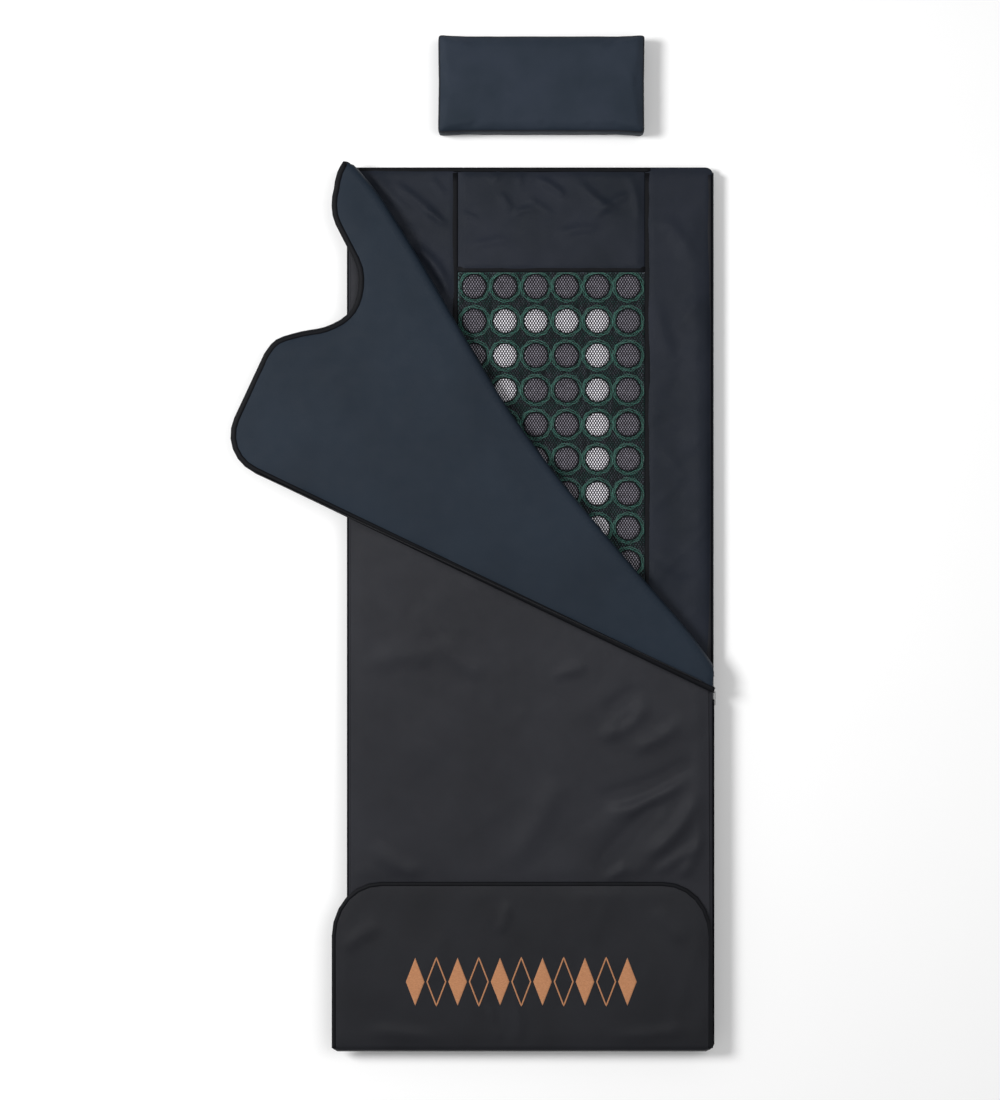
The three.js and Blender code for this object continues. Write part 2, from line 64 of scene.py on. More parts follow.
MM = 0.001
joint = {j["name"]: j for j in frame["joints"]}
FOLD_POINT = np.array(joint["cover_fold"]["pos_m"])
ALONG = np.array(joint["cover_fold"]["axis"][:2])
ACROSS = np.array([-ALONG[1], ALONG[0]])
FOLD_Z = FOLD_POINT[2]
BASE_LOW, BASE_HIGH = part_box("base_outer_shell")
MAT_LOW, MAT_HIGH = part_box("stone_mat_net")
COVER_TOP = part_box("lower_cover_shell")[1].z
COVER_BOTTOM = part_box("lower_cover_lining")[0].z
COVER_HALF = (COVER_TOP - COVER_BOTTOM) / 2
BEND_RADIUS = FOLD_Z - (COVER_TOP + COVER_BOTTOM) / 2
STONE_RADIUS = (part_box("stone_row_01")[1].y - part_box("stone_row_01")[0].y) / 2

# ---- Measures set here, in metres ----

FOOT_END = -0.8984
BASE_CORNER = 14 * MM
LINING_CORNER = 16 * MM
LINING_OVER = 2.2 * MM
ON_RIM = 1e-7
STITCH = (3 * MM, 1 * MM, 0.5 * MM)

# ---- Small tools ----


def smooth(t):
    t = np.clip(t, 0, 1)
    return t * t * (3 - 2 * t)


def lattice_noise(x, y, seed):
    """Smooth noise from -1 to 1 with features one unit across."""
    xi, yi = np.floor(x), np.floor(y)
    fx, fy = smooth(x - xi), smooth(y - yi)

    def corner(i, j):
        h = np.sin((xi + i) * 127.1 + (yi + j) * 311.7 + seed * 74.7) * 43758.5453
        return (h - np.floor(h)) * 2 - 1

    low = corner(0, 0) * (1 - fx) + corner(1, 0) * fx
    high = corner(0, 1) * (1 - fx) + corner(1, 1) * fx
    return low * (1 - fy) + high * fy


def rumple(xy, size, seed, turn=0.0, stretch=1.0):
    """Two octaves of noise; turn, in degrees, and stretch draw it out into long folds."""
    a = math.radians(turn)
    along = xy[:, 0] * math.cos(a) + xy[:, 1] * math.sin(a)
    across = -xy[:, 0] * math.sin(a) + xy[:, 1] * math.cos(a)
    first = lattice_noise(along / (size * stretch), across / size, seed)
    second = lattice_noise(along / (size * stretch) * 2.1, across / size * 2.1, seed + 9)
    return first * 0.7 + second * 0.3


def crease(xy, start, end, width, height, bow=0.0):
    """A soft ridge (height above 0) or furrow from start to end, which tapers out at both ends."""
    a, b = np.array(start), np.array(end)
    run = b - a
    length = np.linalg.norm(run)
    t = ((xy - a) @ run) / length**2
    off = ((xy - a) @ np.array([-run[1], run[0]])) / length
    off = off - bow * 4 * np.clip(t, 0, 1) * (1 - np.clip(t, 0, 1))
    ends = smooth(t / 0.3) * smooth((1 - t) / 0.3)
    return height * np.exp(-((off / width) ** 2)) * ends


def scaled_crease(xy, item):
    """A crease given in millimetres."""
    (x0, y0), (x1, y1), width, height, bow = item
    return crease(xy, (x0 * MM, y0 * MM), (x1 * MM, y1 * MM), width * MM, height * MM, bow * MM)


def to_fold(xy):
    """Across and along the fold line, from its foot."""
    rel = np.asarray(xy) - FOLD_POINT[:2]
    return np.stack([rel @ ACROSS, rel @ ALONG], axis=1)


def from_fold(uv):
    return FOLD_POINT[:2] + uv[:, :1] * ACROSS + uv[:, 1:] * ALONG


def outline_of(node):
    """The outline of a flat CAD piece, from the loop of edges round its top face, anticlockwise."""
    mesh = nodes[node].data
    top = max(v.co.z for v in mesh.vertices)
    key = {}
    place = []
    for v in mesh.vertices:
        k = (round(v.co.x, 6), round(v.co.y, 6), round(v.co.z, 6))
        place.append(k)
        key.setdefault(k, v.co.copy())
    count = {}
    for face in mesh.polygons:
        if all(abs(mesh.vertices[i].co.z - top) < 1e-6 for i in face.vertices):
            loop = list(face.vertices)
            for i, j in zip(loop, loop[1:] + loop[:1]):
                a, b = place[i], place[j]
                if (b, a) in count:
                    del count[(b, a)]
                else:
                    count[(a, b)] = True
    follow = {a: b for a, b in count}
    start = next(iter(follow))
    points, at = [], start
    while True:
        points.append([at[0], at[1]])
        at = follow[at]
        if at == start:
            return np.array(points)


def spaced(points, step, closed=False):
    """A run of points resampled so that neighbours are about step apart, keeping its corners."""
    points = np.asarray(points, float)
    if closed:
        points = np.vstack([points, points[:1]])
    out = []
    for a, b in zip(points[:-1], points[1:]):
        n = max(1, int(round(np.linalg.norm(b - a) / step)))
        out.extend(a + (b - a) * k / n for k in range(n))
    if not closed:
        out.append(points[-1])
    return np.array(out)


def step_lengths(run):
    return np.linalg.norm(np.diff(run, axis=0), axis=1)


def measured(run):
    """The distance along a run at each of its points."""
    return np.concatenate([[0], np.cumsum(step_lengths(run))])


def point_at(run, along, s):
    return np.array([np.interp(s, along, run[:, i]) for i in range(3)])


def opened(loop):
    """A loop that has lost a stretch, started after the gap."""
    gap = int(np.argmax(np.linalg.norm(np.roll(loop, -1, axis=0) - loop, axis=1)))
    return np.roll(loop, -gap - 1, axis=0)


def distance_to(xy, run, closed=True):
    """Distance of each point from a run of points."""
    run = np.asarray(run)
    ends = np.roll(run, -1, axis=0) if closed else run[1:]
    starts = run if closed else run[:-1]
    best = np.full(len(xy), 1e9)
    for a, b in zip(starts, ends):
        d = b - a
        t = np.clip(((xy - a) @ d) / max(d @ d, 1e-18), 0, 1)
        off = xy - a - t[:, None] * d
        best = np.minimum(best, np.einsum("ij,ij->i", off, off))
    return np.sqrt(best)


def inside(xy, outline):
    """Which points lie within a closed outline."""
    ok = np.zeros(len(xy), bool)
    for (x0, y0), (x1, y1) in zip(outline, np.roll(outline, -1, axis=0)):
        if y0 != y1:
            hit = (xy[:, 1] < y0) != (xy[:, 1] < y1)
            ok ^= hit & (xy[:, 0] < x0 + (xy[:, 1] - y0) * (x1 - x0) / (y1 - y0))
    return ok


def inset_loop(outline, distance):
    """A closed anticlockwise outline moved inwards."""
    after = np.roll(outline, -1, axis=0) - outline
    after /= np.maximum(np.linalg.norm(after, axis=1), 1e-12)[:, None]
    before = np.roll(after, 1, axis=0)
    middle = after + before
    middle /= np.maximum(np.linalg.norm(middle, axis=1), 1e-12)[:, None]
    reach = distance / np.maximum(0.5, np.einsum("ij,ij->i", middle, before))
    return outline + np.stack([-middle[:, 1], middle[:, 0]], axis=1) * reach[:, None]


def new_object(name, verts, faces, materials, indices=None, shade=True):
    mesh = bpy.data.meshes.new(name)
    mesh.from_pydata([tuple(v) for v in verts], [], [tuple(f) for f in faces])
    for m in materials:
        mesh.materials.append(m)
    if indices is not None:
        mesh.polygons.foreach_set("material_index", np.asarray(indices, np.int32))
    mesh.polygons.foreach_set("use_smooth", [shade] * len(mesh.polygons))
    mesh.update()
    obj = bpy.data.objects.new(name, mesh)
    bpy.context.scene.collection.objects.link(obj)
    return obj


def triangulate(outline, spacing, rings, extra=None, keep_out=None):
    """Triangles over an outline, with rings of points near its edge and an even grid inside."""
    points = [outline]
    for r in rings:
        loop = inset_loop(outline, r)
        good = inside(loop, outline) & (distance_to(loop, outline) > r * 0.9)
        points.append(loop[good])
    if extra is not None:
        points.append(extra)
    low, high = outline.min(0), outline.max(0)
    xs = np.arange(low[0], high[0], spacing)
    ys = np.arange(low[1], high[1], spacing * 0.866)
    gx, gy = np.meshgrid(xs, ys)
    gx = gx + (np.arange(len(ys)) % 2)[:, None] * spacing / 2
    grid = np.stack([gx.ravel(), gy.ravel()], axis=1)
    grid = grid[inside(grid, outline)]
    margin = (rings[-1] if rings else 0) + spacing * 0.5
    grid = grid[distance_to(grid, outline) > margin]
    if keep_out is not None:
        grid = grid[~keep_out(grid)]
    points.append(grid)
    flat = np.concatenate(points)
    n = len(outline)
    edges = [(i, (i + 1) % n) for i in range(n)]
    verts, _, faces, _, _, _ = delaunay_2d_cdt([Vector(p) for p in flat], edges, [], 1, ON_RIM)
    xy = np.array([[v.x, v.y] for v in verts])
    fixed = []
    for f in faces:
        (ax, ay), (bx, by), (cx, cy) = xy[f[0]], xy[f[1]], xy[f[2]]
        turn = (bx - ax) * (cy - ay) - (by - ay) * (cx - ax)
        fixed.append(f if turn > 0 else f[::-1])
    return xy, fixed, distance_to(xy, outline)


def crown(d, radius):
    """Rounded edge: 0 at the edge, 1 from radius inwards."""
    t = 1 - np.clip(d / radius, 0, 1)
    return np.sqrt(np.clip(1 - t * t, 0, 1))


def quilt(name, outline, spacing, top, bottom, materials, rings=(1 * MM, 3 * MM, 7 * MM),
          place=None, **grid):
    """A closed padded piece over an outline. top and bottom give heights from (xy, distance to edge);
    they meet at the edge. place turns (xy, height) into points, where the piece isn't flat."""
    xy, faces, d = triangulate(outline, spacing, rings, **grid)
    z_top, z_bottom = top(xy, d), bottom(xy, d)
    rim = d < ON_RIM
    index = np.arange(len(xy))
    lower = np.where(rim, index, len(xy) + np.cumsum(~rim) - 1)
    both_xy = np.concatenate([xy, xy[~rim]])
    both_z = np.concatenate([z_top, z_bottom[~rim]])
    if place is None:
        verts = np.column_stack([both_xy, both_z])
    else:
        verts = place(both_xy, both_z)
    under = [tuple(int(lower[i]) for i in f[::-1]) for f in faces]
    shown = [0] * len(faces) + [min(1, len(materials) - 1)] * len(faces)
    made = new_object(name, verts, [tuple(f) for f in faces] + under, materials, shown)
    if place is not None:
        tidy_normals(made)
    return made


def rounded_rectangle(x0, x1, y0, y1, radius, segments=6):
    points = []
    for cx, cy, start in ((x1 - radius, y0 + radius, -90), (x1 - radius, y1 - radius, 0),
                          (x0 + radius, y1 - radius, 90), (x0 + radius, y0 + radius, 180)):
        for i in range(segments + 1):
            a = math.radians(start + 90 * i / segments)
            points.append([cx + radius * math.cos(a), cy + radius * math.sin(a)])
    return np.array(points)


def rounded_box(low, high, grow, radius):
    """The plan of a box with round corners, grown on every side, or shrunk where grow is below 0."""
    return rounded_rectangle(low.x - grow, high.x + grow, low.y - grow, high.y + grow, radius)


def sweep(name, path, section, materials, closed=False, up=None):
    """A section of (side, height) points carried along a path of 3-D points, closed at its ends."""
    path = np.asarray(path, float)
    ahead = np.roll(path, -1, axis=0) - path
    behind = path - np.roll(path, 1, axis=0)
    if not closed:
        ahead[-1], behind[0] = behind[-1], ahead[0]
    tangent = ahead / np.linalg.norm(ahead, axis=1)[:, None]
    tangent = tangent + behind / np.linalg.norm(behind, axis=1)[:, None]
    tangent /= np.linalg.norm(tangent, axis=1)[:, None]
    up = np.array([0, 0, 1.0]) if up is None else np.asarray(up, float)
    side = np.cross(up, tangent)
    side /= np.linalg.norm(side, axis=1)[:, None]
    rise = np.cross(tangent, side)
    m, n = len(section), len(path)
    verts = np.concatenate([path[i] + np.outer([s[0] for s in section], side[i])
                            + np.outer([s[1] for s in section], rise[i]) for i in range(n)])
    faces = []
    for i in range(n if closed else n - 1):
        k = (i + 1) % n
        faces += [(i * m + j, i * m + (j + 1) % m, k * m + (j + 1) % m, k * m + j) for j in range(m)]
    if not closed:
        faces += [tuple(range(m))[::-1], tuple((n - 1) * m + j for j in range(m))]
    obj = new_object(name, verts, faces, materials)
    tidy_normals(obj)
    return obj


def tidy_normals(obj):
    work = bmesh.new()
    work.from_mesh(obj.data)
    bmesh.ops.recalc_face_normals(work, faces=work.faces)
    work.to_mesh(obj.data)
    work.free()


def attach(obj, body, slot, *replaced):
    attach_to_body(obj, body)
    if replaced:
        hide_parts(*replaced)
    return obj


# ---- Materials ----


# A wave texture at this scale has about one band per step of its coordinates.
BAND_SCALE = 0.3183


class Paint:
    """A material's node tree with short names for what the recipes below use."""

    def __init__(self, name, roughness=0.7, metallic=0.0, sheen=0.0, specular=0.5, coat=0.0):
        self.material = bpy.data.materials.new(name)
        self.material.use_nodes = True
        self.tree = self.material.node_tree
        self.shader = self.tree.nodes["Principled BSDF"]
        self.shader.inputs["Roughness"].default_value = roughness
        self.shader.inputs["Metallic"].default_value = metallic
        self.shader.inputs["Sheen Weight"].default_value = sheen
        self.shader.inputs["Specular IOR Level"].default_value = specular
        self.shader.inputs["Coat Weight"].default_value = coat
        self.place = self.node("ShaderNodeTexCoord").outputs["Object"]

    def node(self, kind, **settings):
        made = self.tree.nodes.new(kind)
        for name, value in settings.items():
            setattr(made, name, value)
        return made

    def link(self, out, into):
        self.tree.links.new(out, into)

    def scaled(self, size, turn=0.0):
        """Coordinates in steps of size, which may differ per axis, turned about Z."""
        step = size if hasattr(size, "__len__") else (size, size, size)
        mapping = self.node("ShaderNodeMapping")
        self.link(self.place, mapping.inputs["Vector"])
        mapping.inputs["Rotation"].default_value = (0, 0, math.radians(turn))
        mapping.inputs["Scale"].default_value = tuple(1 / s for s in step)
        return mapping.outputs["Vector"]

    def noise(self, size, detail=2.0, turn=0.0):
        made = self.node("ShaderNodeTexNoise")
        made.inputs["Scale"].default_value = 1.0
        made.inputs["Detail"].default_value = detail
        self.link(self.scaled(size, turn), made.inputs["Vector"])
        return made.outputs["Fac"]

    def ribs(self, size, turn=0.0, axis="X"):
        made = self.node("ShaderNodeTexWave", wave_type="BANDS", bands_direction=axis)
        made.inputs["Scale"].default_value = BAND_SCALE
        self.link(self.scaled(size, turn), made.inputs["Vector"])
        return made.outputs["Fac"]

    def cells(self, size, turn=0.0):
        made = self.node("ShaderNodeTexVoronoi")
        made.inputs["Scale"].default_value = 1.0
        self.link(self.scaled(size, turn), made.inputs["Vector"])
        return made.outputs["Distance"]

    def math(self, operation, a, b):
        made = self.node("ShaderNodeMath", operation=operation)
        for socket, value in zip(made.inputs, (a, b)):
            if hasattr(value, "node"):
                self.link(value, socket)
            else:
                socket.default_value = value
        return made.outputs[0]

    def mix(self, factor, first, second):
        """Colours are (r, g, b) as shown on screen, or an output."""
        made = self.node("ShaderNodeMix", data_type="RGBA")
        self.link(factor, made.inputs[0])
        for socket, value in ((made.inputs[6], first), (made.inputs[7], second)):
            if hasattr(value, "node"):
                self.link(value, socket)
            else:
                socket.default_value = (*linear(value), 1)
        return made.outputs[2]

    def ramp(self, value, low, high):
        made = self.node("ShaderNodeMapRange")
        self.link(value, made.inputs["Value"])
        made.inputs["From Min"].default_value = low
        made.inputs["From Max"].default_value = high
        return made.outputs["Result"]

    def color(self, value):
        if hasattr(value, "node"):
            self.link(value, self.shader.inputs["Base Color"])
        else:
            self.shader.inputs["Base Color"].default_value = (*linear(value), 1)

    def bump(self, height, distance, strength=1.0):
        made = self.node("ShaderNodeBump")
        made.inputs["Distance"].default_value = distance
        made.inputs["Strength"].default_value = strength
        self.link(height, made.inputs["Height"])
        if self.shader.inputs["Normal"].is_linked:
            self.link(self.shader.inputs["Normal"].links[0].from_socket, made.inputs["Normal"])
        self.link(made.outputs["Normal"], self.shader.inputs["Normal"])

    def roughness(self, value, low, high):
        made = self.node("ShaderNodeMapRange")
        self.link(value, made.inputs["Value"])
        made.inputs["To Min"].default_value = low
        made.inputs["To Max"].default_value = high
        self.link(made.outputs["Result"], self.shader.inputs["Roughness"])


def linear(rgb):
    return tuple(c / 12.92 if c <= 0.04045 else ((c + 0.055) / 1.055) ** 2.4 for c in rgb)


def woven(name, dark, light, thread, patch, **settings):
    """Cloth of two crossing threads, with slow changes of tone over the piece."""
    paint = Paint(name, **settings)
    warp = paint.ribs(thread, axis="X")
    weft = paint.ribs(thread, axis="Y")
    weave = paint.math("MAXIMUM", warp, weft)
    tone = paint.math("ADD", paint.noise(patch, 3.0), paint.math("MULTIPLY", weave, 0.12))
    paint.color(paint.mix(paint.ramp(tone, 0.38, 0.78), dark, light))
    paint.bump(weave, thread * 0.35, 0.5)
    paint.bump(paint.noise(6 * MM, 2.0), 0.25 * MM, 0.5)
    middle = settings.get("roughness", 0.7)
    paint.roughness(paint.noise(30 * MM), middle - 0.08, middle + 0.08)
    return paint.material


def make_cover_cloth():
    return woven("cover_cloth", (0.088, 0.092, 0.116), (0.12, 0.124, 0.148), 0.7 * MM, 150 * MM,
                 roughness=0.5, specular=0.22)


def make_foot_cloth():
    return woven("foot_flap_cloth", (0.07, 0.074, 0.094), (0.094, 0.098, 0.119), 0.7 * MM, 120 * MM,
                 roughness=0.5, specular=0.22)


# The flap lining and the base lining are one cloth in two colours: a lighter copy for the flap, painted
# light, and a darker, greyer copy for the base panels, painted shade where they lie lower and partly
# under the flap.
def make_flap_lining():
    return woven("flap_lining_cloth", (0.082, 0.12, 0.162), (0.105, 0.145, 0.19), 0.6 * MM, 200 * MM,
                 roughness=0.5, specular=0.14)


# The base panels' darker copy of the lining: painted shade.
def make_base_lining():
    return woven("base_lining_cloth", (0.075, 0.097, 0.132), (0.106, 0.123, 0.163), 0.6 * MM, 110 * MM,
                 roughness=0.48, specular=0.14)


def make_pillow_cloth():
    return woven("pillow_cloth", (0.125, 0.16, 0.2), (0.155, 0.185, 0.23), 0.9 * MM, 90 * MM,
                 roughness=0.65, specular=0.15)


def make_tape():
    """Black grosgrain: fine ribs across the tape."""
    paint = Paint("binding_tape", roughness=0.6, specular=0.12)
    ribs = paint.ribs(1.1 * MM, 45)
    paint.color(paint.mix(paint.noise(25 * MM), (0.03, 0.034, 0.045), (0.055, 0.06, 0.08)))
    paint.bump(ribs, 0.2 * MM, 0.5)
    return paint.material


def make_thread(name, dark, light, step, turn, roughness=0.5):
    """Smooth embroidery thread, laid side by side."""
    paint = Paint(name, roughness=roughness, sheen=0.2, specular=0.5)
    strands = paint.ribs(step, turn)
    fleck = paint.noise((4 * MM, 1.5 * MM, 4 * MM), 3.0, turn)
    paint.color(paint.mix(paint.math("MULTIPLY", strands, fleck), dark, light))
    paint.bump(strands, step * 0.5, 0.7)
    return paint.material


def make_mat_cloth():
    """Dark grey-green ground with upright darker flecks, tinted green in random patches."""
    paint = Paint("mat_cloth", roughness=0.75, specular=0.3)
    flecks = paint.noise((7 * MM, 26 * MM, 10 * MM), 3.0)
    fine = paint.noise((2.2 * MM, 5 * MM, 4 * MM), 2.0)
    ground = paint.mix(paint.ramp(flecks, 0.35, 0.65), (0.12, 0.15, 0.17), (0.4, 0.42, 0.46))
    green = paint.mix(paint.noise(9 * MM, 3.0), (0.1, 0.25, 0.23), (0.22, 0.46, 0.42))
    paint.color(paint.mix(paint.ramp(paint.math("ADD", fine, paint.noise(20 * MM)), 0.85, 1.3),
                          ground, green))
    paint.bump(paint.noise((1 * MM, 3 * MM, 1 * MM), 2.0), 0.5 * MM, 0.6)
    return paint.material


def make_stone(name, dark, light):
    """Ground stone: fine cloudy grain with a soft polish."""
    paint = Paint(name, roughness=0.38, specular=0.5)
    cloud = paint.noise(9 * MM, 4.0)
    speck = paint.noise(1.2 * MM, 2.0)
    paint.color(paint.mix(paint.ramp(paint.math("ADD", cloud, paint.math("MULTIPLY", speck, 0.4)),
                                     0.45, 0.95), dark, light))
    paint.bump(speck, 0.1 * MM, 0.3)
    paint.roughness(cloud, 0.3, 0.5)
    return paint.material


def make_plain(name, dark, light, grain, depth, **settings):
    """Moulded plastic, enamel or other plain stuff with a fine grain."""
    paint = Paint(name, **settings)
    grainy = paint.noise(grain, 3.0)
    paint.color(paint.mix(grainy, dark, light))
    paint.bump(grainy, depth, 0.5)
    return paint.material


def make_fibres(name, dark, light, size, depth):
    """Wadding, felt and loop tape: matted fibres."""
    paint = Paint(name, roughness=0.95, specular=0.1, sheen=0.3)
    tangle = paint.noise((size, size * 3, size), 5.0)
    other = paint.noise((size * 3, size, size), 5.0, 35)
    mixed = paint.math("MAXIMUM", tangle, other)
    paint.color(paint.mix(paint.ramp(mixed, 0.35, 0.75), dark, light))
    paint.bump(mixed, depth, 0.8)
    return paint.material


def make_foil():
    paint = Paint("foil", roughness=0.28, metallic=1.0)
    crinkle = paint.cells(14 * MM)
    paint.color(paint.mix(crinkle, (0.8, 0.82, 0.84), (0.92, 0.93, 0.94)))
    paint.bump(crinkle, 1.2 * MM, 0.6)
    return paint.material


def make_floor():
    paint = Paint("floor", roughness=0.9, specular=0.1)
    paint.color(paint.mix(paint.noise(0.4), (0.965, 0.965, 0.965), (0.975, 0.975, 0.975)))
    return paint.material


cover_cloth = make_cover_cloth()
foot_cloth = make_foot_cloth()
flap_lining = make_flap_lining()
base_lining = make_base_lining()
pillow_cloth = make_pillow_cloth()
tape = make_tape()
mat_cloth = make_mat_cloth()
green_thread = make_thread("green_thread", (0.06, 0.22, 0.2), (0.33, 0.72, 0.63), 0.8 * MM, 30)
copper_thread = make_thread("copper_thread", (0.62, 0.38, 0.23), (0.97, 0.72, 0.5), 0.7 * MM, 90)
net_cord = make_plain("net_cord", (0.04, 0.05, 0.06), (0.08, 0.09, 0.1), 0.5 * MM, 0.1 * MM,
                      roughness=0.7, specular=0.1)
dark_stone = make_stone("dark_stone", (0.36, 0.34, 0.38), (0.53, 0.51, 0.56))
pale_stone = make_stone("pale_stone", (0.91, 0.9, 0.94), (0.99, 0.98, 1.0))
plastic = make_plain("black_plastic", (0.09, 0.093, 0.1), (0.12, 0.123, 0.13), 0.4 * MM, 0.05 * MM,
                     roughness=0.45)
enamel = make_plain("zip_enamel", (0.1, 0.1, 0.11), (0.14, 0.14, 0.15), 3 * MM, 0.03 * MM,
                    roughness=0.3, metallic=0.6)
brass = make_plain("contact_brass", (0.75, 0.6, 0.3), (0.85, 0.7, 0.4), 2 * MM, 0.02 * MM,
                   roughness=0.3, metallic=1.0)
steel = make_plain("sensor_steel", (0.6, 0.6, 0.6), (0.72, 0.72, 0.72), 2 * MM, 0.03 * MM,
                   roughness=0.35, metallic=1.0)
wadding = make_fibres("wadding", (0.78, 0.77, 0.73), (0.93, 0.92, 0.89), 3 * MM, 1.0 * MM)
felt = make_fibres("felt", (0.42, 0.4, 0.36), (0.6, 0.58, 0.52), 1.5 * MM, 0.4 * MM)
hook_loop = make_fibres("hook_and_loop", (0.03, 0.03, 0.035), (0.1, 0.1, 0.11), 0.8 * MM, 0.6 * MM)
carbon = make_fibres("carbon_ribbon", (0.05, 0.05, 0.055), (0.12, 0.12, 0.13), 0.5 * MM, 0.2 * MM)
foam = make_fibres("foam", (0.84, 0.8, 0.66), (0.95, 0.92, 0.8), 1.0 * MM, 0.3 * MM)
foil = make_foil()


def paint_carried_nodes():
    """Materials for the CAD pieces that no modelled piece replaces."""
    finishes = {"base_insulation_pad": wadding, "lower_cover_padding": wadding,
                "flap_padding": wadding, "foot_flap_padding": wadding, "base_reflective_foil": foil,
                "base_heater_carrier": felt, "base_heat_spreader_felt": felt,
                "base_heating_ribbon": carbon, "lower_cover_heating_ribbon": carbon,
                "flap_heating_ribbon": carbon, "thermal_cutout": plastic,
                "temperature_sensor": steel, "power_inlet_housing": plastic,
                "power_inlet_contacts": brass, "foot_flap_hook_strip": hook_loop,
                "cover_loop_strip": hook_loop}
    for name, material in finishes.items():
        mesh = nodes[name].data
        mesh.materials.clear()
        mesh.materials.append(material)


# ---- Base ----

EDGE_BULGE = 1.5 * MM


def base_outline(grow):
    """The base's plan, cut off straight at the foot end, where the foot flap's hem hangs."""
    plan = rounded_box(BASE_LOW, BASE_HIGH, grow, BASE_CORNER + grow)
    loop = spaced(plan, 12 * MM, closed=True)
    loop[:, 1] = np.maximum(loop[:, 1], FOOT_END)
    return loop


def build_base_shell():
    """The quilted body: flat where it rests on the floor, soft round sides, flat under the lining."""
    top_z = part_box("base_heat_spreader_felt")[1].z + 0.1 * MM
    middle = top_z / 2

    def top(xy, d):
        return middle + (top_z - middle) * crown(d, 5 * MM)

    def bottom(xy, d):
        return middle - middle * crown(d, 5 * MM)

    shell = quilt("base_shell", base_outline(EDGE_BULGE), 45 * MM, top, bottom, [cover_cloth],
                  rings=(0.4 * MM, 1.5 * MM, 4.9 * MM))
    attach(shell, "base", "cover_fabric", "base_outer_shell")


def panel_relief(xy, seed):
    """Slack in the lining: slow swells with finer folds on them."""
    slow = rumple(xy, 90 * MM, seed, 60, 1.5)
    fine = rumple(xy, 34 * MM, seed + 3, 45, 2.5)
    return (slow * 0.5 + 0.5) * 2.2 * MM + np.clip(fine, 0, 1) * 1.6 * MM


# Creases, in millimetres: start, end, width, height and bow.
LEFT_CREASES = (((-292, 874), (-172, 774), 9, 3.0, 6), ((-222, 818), (-168, 774), 5, 2.5, 3),
                ((-245, 742), (-170, 660), 10, 5.0, 8), ((-190, 690), (-168, 640), 7, 3.0, 3),
                ((-205, 880), (-172, 838), 7, 1.8, 0), ((-300, 820), (-235, 760), 9, 2.2, -4),
                ((-330, 900), (-230, 800), 12, 2.5, -8))
HEAD_CREASES = (((10, 878), (75, 832), 7, 3.2, 5), ((-78, 868), (-62, 893), 5, 2.2, 0),
                ((-60, 852), (-34, 808), 7, 2.5, -4), ((-40, 803), (20, 816), 6, 2.2, 3),
                ((-146, 806), (-104, 789), 5, 1.8, 2), ((-20, 893), (-24, 858), 5, 2.0, 0),
                ((90, 880), (190, 800), 9, 3.0, -8), ((120, 790), (215, 850), 8, 2.4, 6),
                ((40, 760), (150, 775), 8, 1.8, 5), ((-130, 740), (-40, 760), 9, 1.6, -4),
                ((200, 890), (226, 780), 7, 2.2, 3), ((-10, 840), (50, 800), 6, 1.6, 0))
RIGHT_CREASES = (((330, 885), (344, -140), 24, 4.5, 6), ((262, 800), (330, 700), 16, 2.5, 10),
                 ((255, 640), (300, 480), 16, 2.0, -8), ((300, 560), (350, 640), 12, 1.8, 4),
                 ((258, 330), (320, 240), 14, 1.8, 6), ((250, 120), (330, 60), 14, 1.8, -6))
FOOT_END_CREASES = (((-100, -600), (100, -760), 16, 2.0, 20),)


def build_panel(name, node, outline, seed, creases=()):
    """A lining panel, sewn down at its outline and slack in the middle."""
    bottom_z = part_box(node)[0].z
    seam_z = bottom_z + 0.9 * MM
    loop = spaced(outline, 8 * MM, closed=True)

    def top(xy, d):
        sewn = smooth(d / (16 * MM))
        lift = (1.4 * MM + panel_relief(xy, seed)) * sewn
        for item in creases:
            lift = lift + scaled_crease(xy, item) * 1.3 * sewn
        return np.maximum(seam_z + 0.9 * MM * crown(d, 3 * MM) + lift, bottom_z + 0.1 * MM)

    def bottom(xy, d):
        return seam_z - 0.8 * MM * crown(d, 3 * MM)

    panel = quilt(name, loop, 7 * MM, top, bottom, [base_lining], rings=(0.6 * MM, 2.5 * MM))
    attach(panel, "base", "lining_fabric", node)


def build_lining():
    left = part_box("lining_left_panel")
    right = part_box("lining_right_panel")
    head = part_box("lining_head_panel")
    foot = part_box("lining_foot_panel")

    def plain(box):
        return np.array([[box[0].x, box[0].y], [box[1].x, box[0].y], [box[1].x, box[1].y],
                         [box[0].x, box[1].y]])

    def outer(box, side):
        """A side panel's outline: round at its two outer corners, square at the seam."""
        loop = rounded_box(BASE_LOW, BASE_HIGH, LINING_OVER, LINING_CORNER)
        loop[:, 1] = np.maximum(loop[:, 1], FOOT_END)
        arc = loop[loop[:, 0] * side > 0]
        seam = box[1].x if side < 0 else box[0].x
        return np.vstack([arc, [[seam, arc[-1][1]], [seam, arc[0][1]]]])

    build_panel("lining_left", "lining_left_panel", outer(left, -1), 5, LEFT_CREASES)
    build_panel("lining_right", "lining_right_panel", outer(right, 1), 8, RIGHT_CREASES)
    build_panel("lining_head", "lining_head_panel", plain(head), 11, HEAD_CREASES)
    build_panel("lining_foot", "lining_foot_panel", plain(foot), 14, FOOT_END_CREASES)


def ribbon_section(width, height):
    """A flat tape's section, slightly crowned, with thin soft edges."""
    half = width / 2
    return [(-half, 0.1 * MM), (-half, height * 0.6), (-half * 0.8, height), (0, height * 1.1),
            (half * 0.8, height), (half, height * 0.6), (half, 0.1 * MM), (half * 0.8, -0.2 * MM),
            (-half * 0.8, -0.2 * MM)]


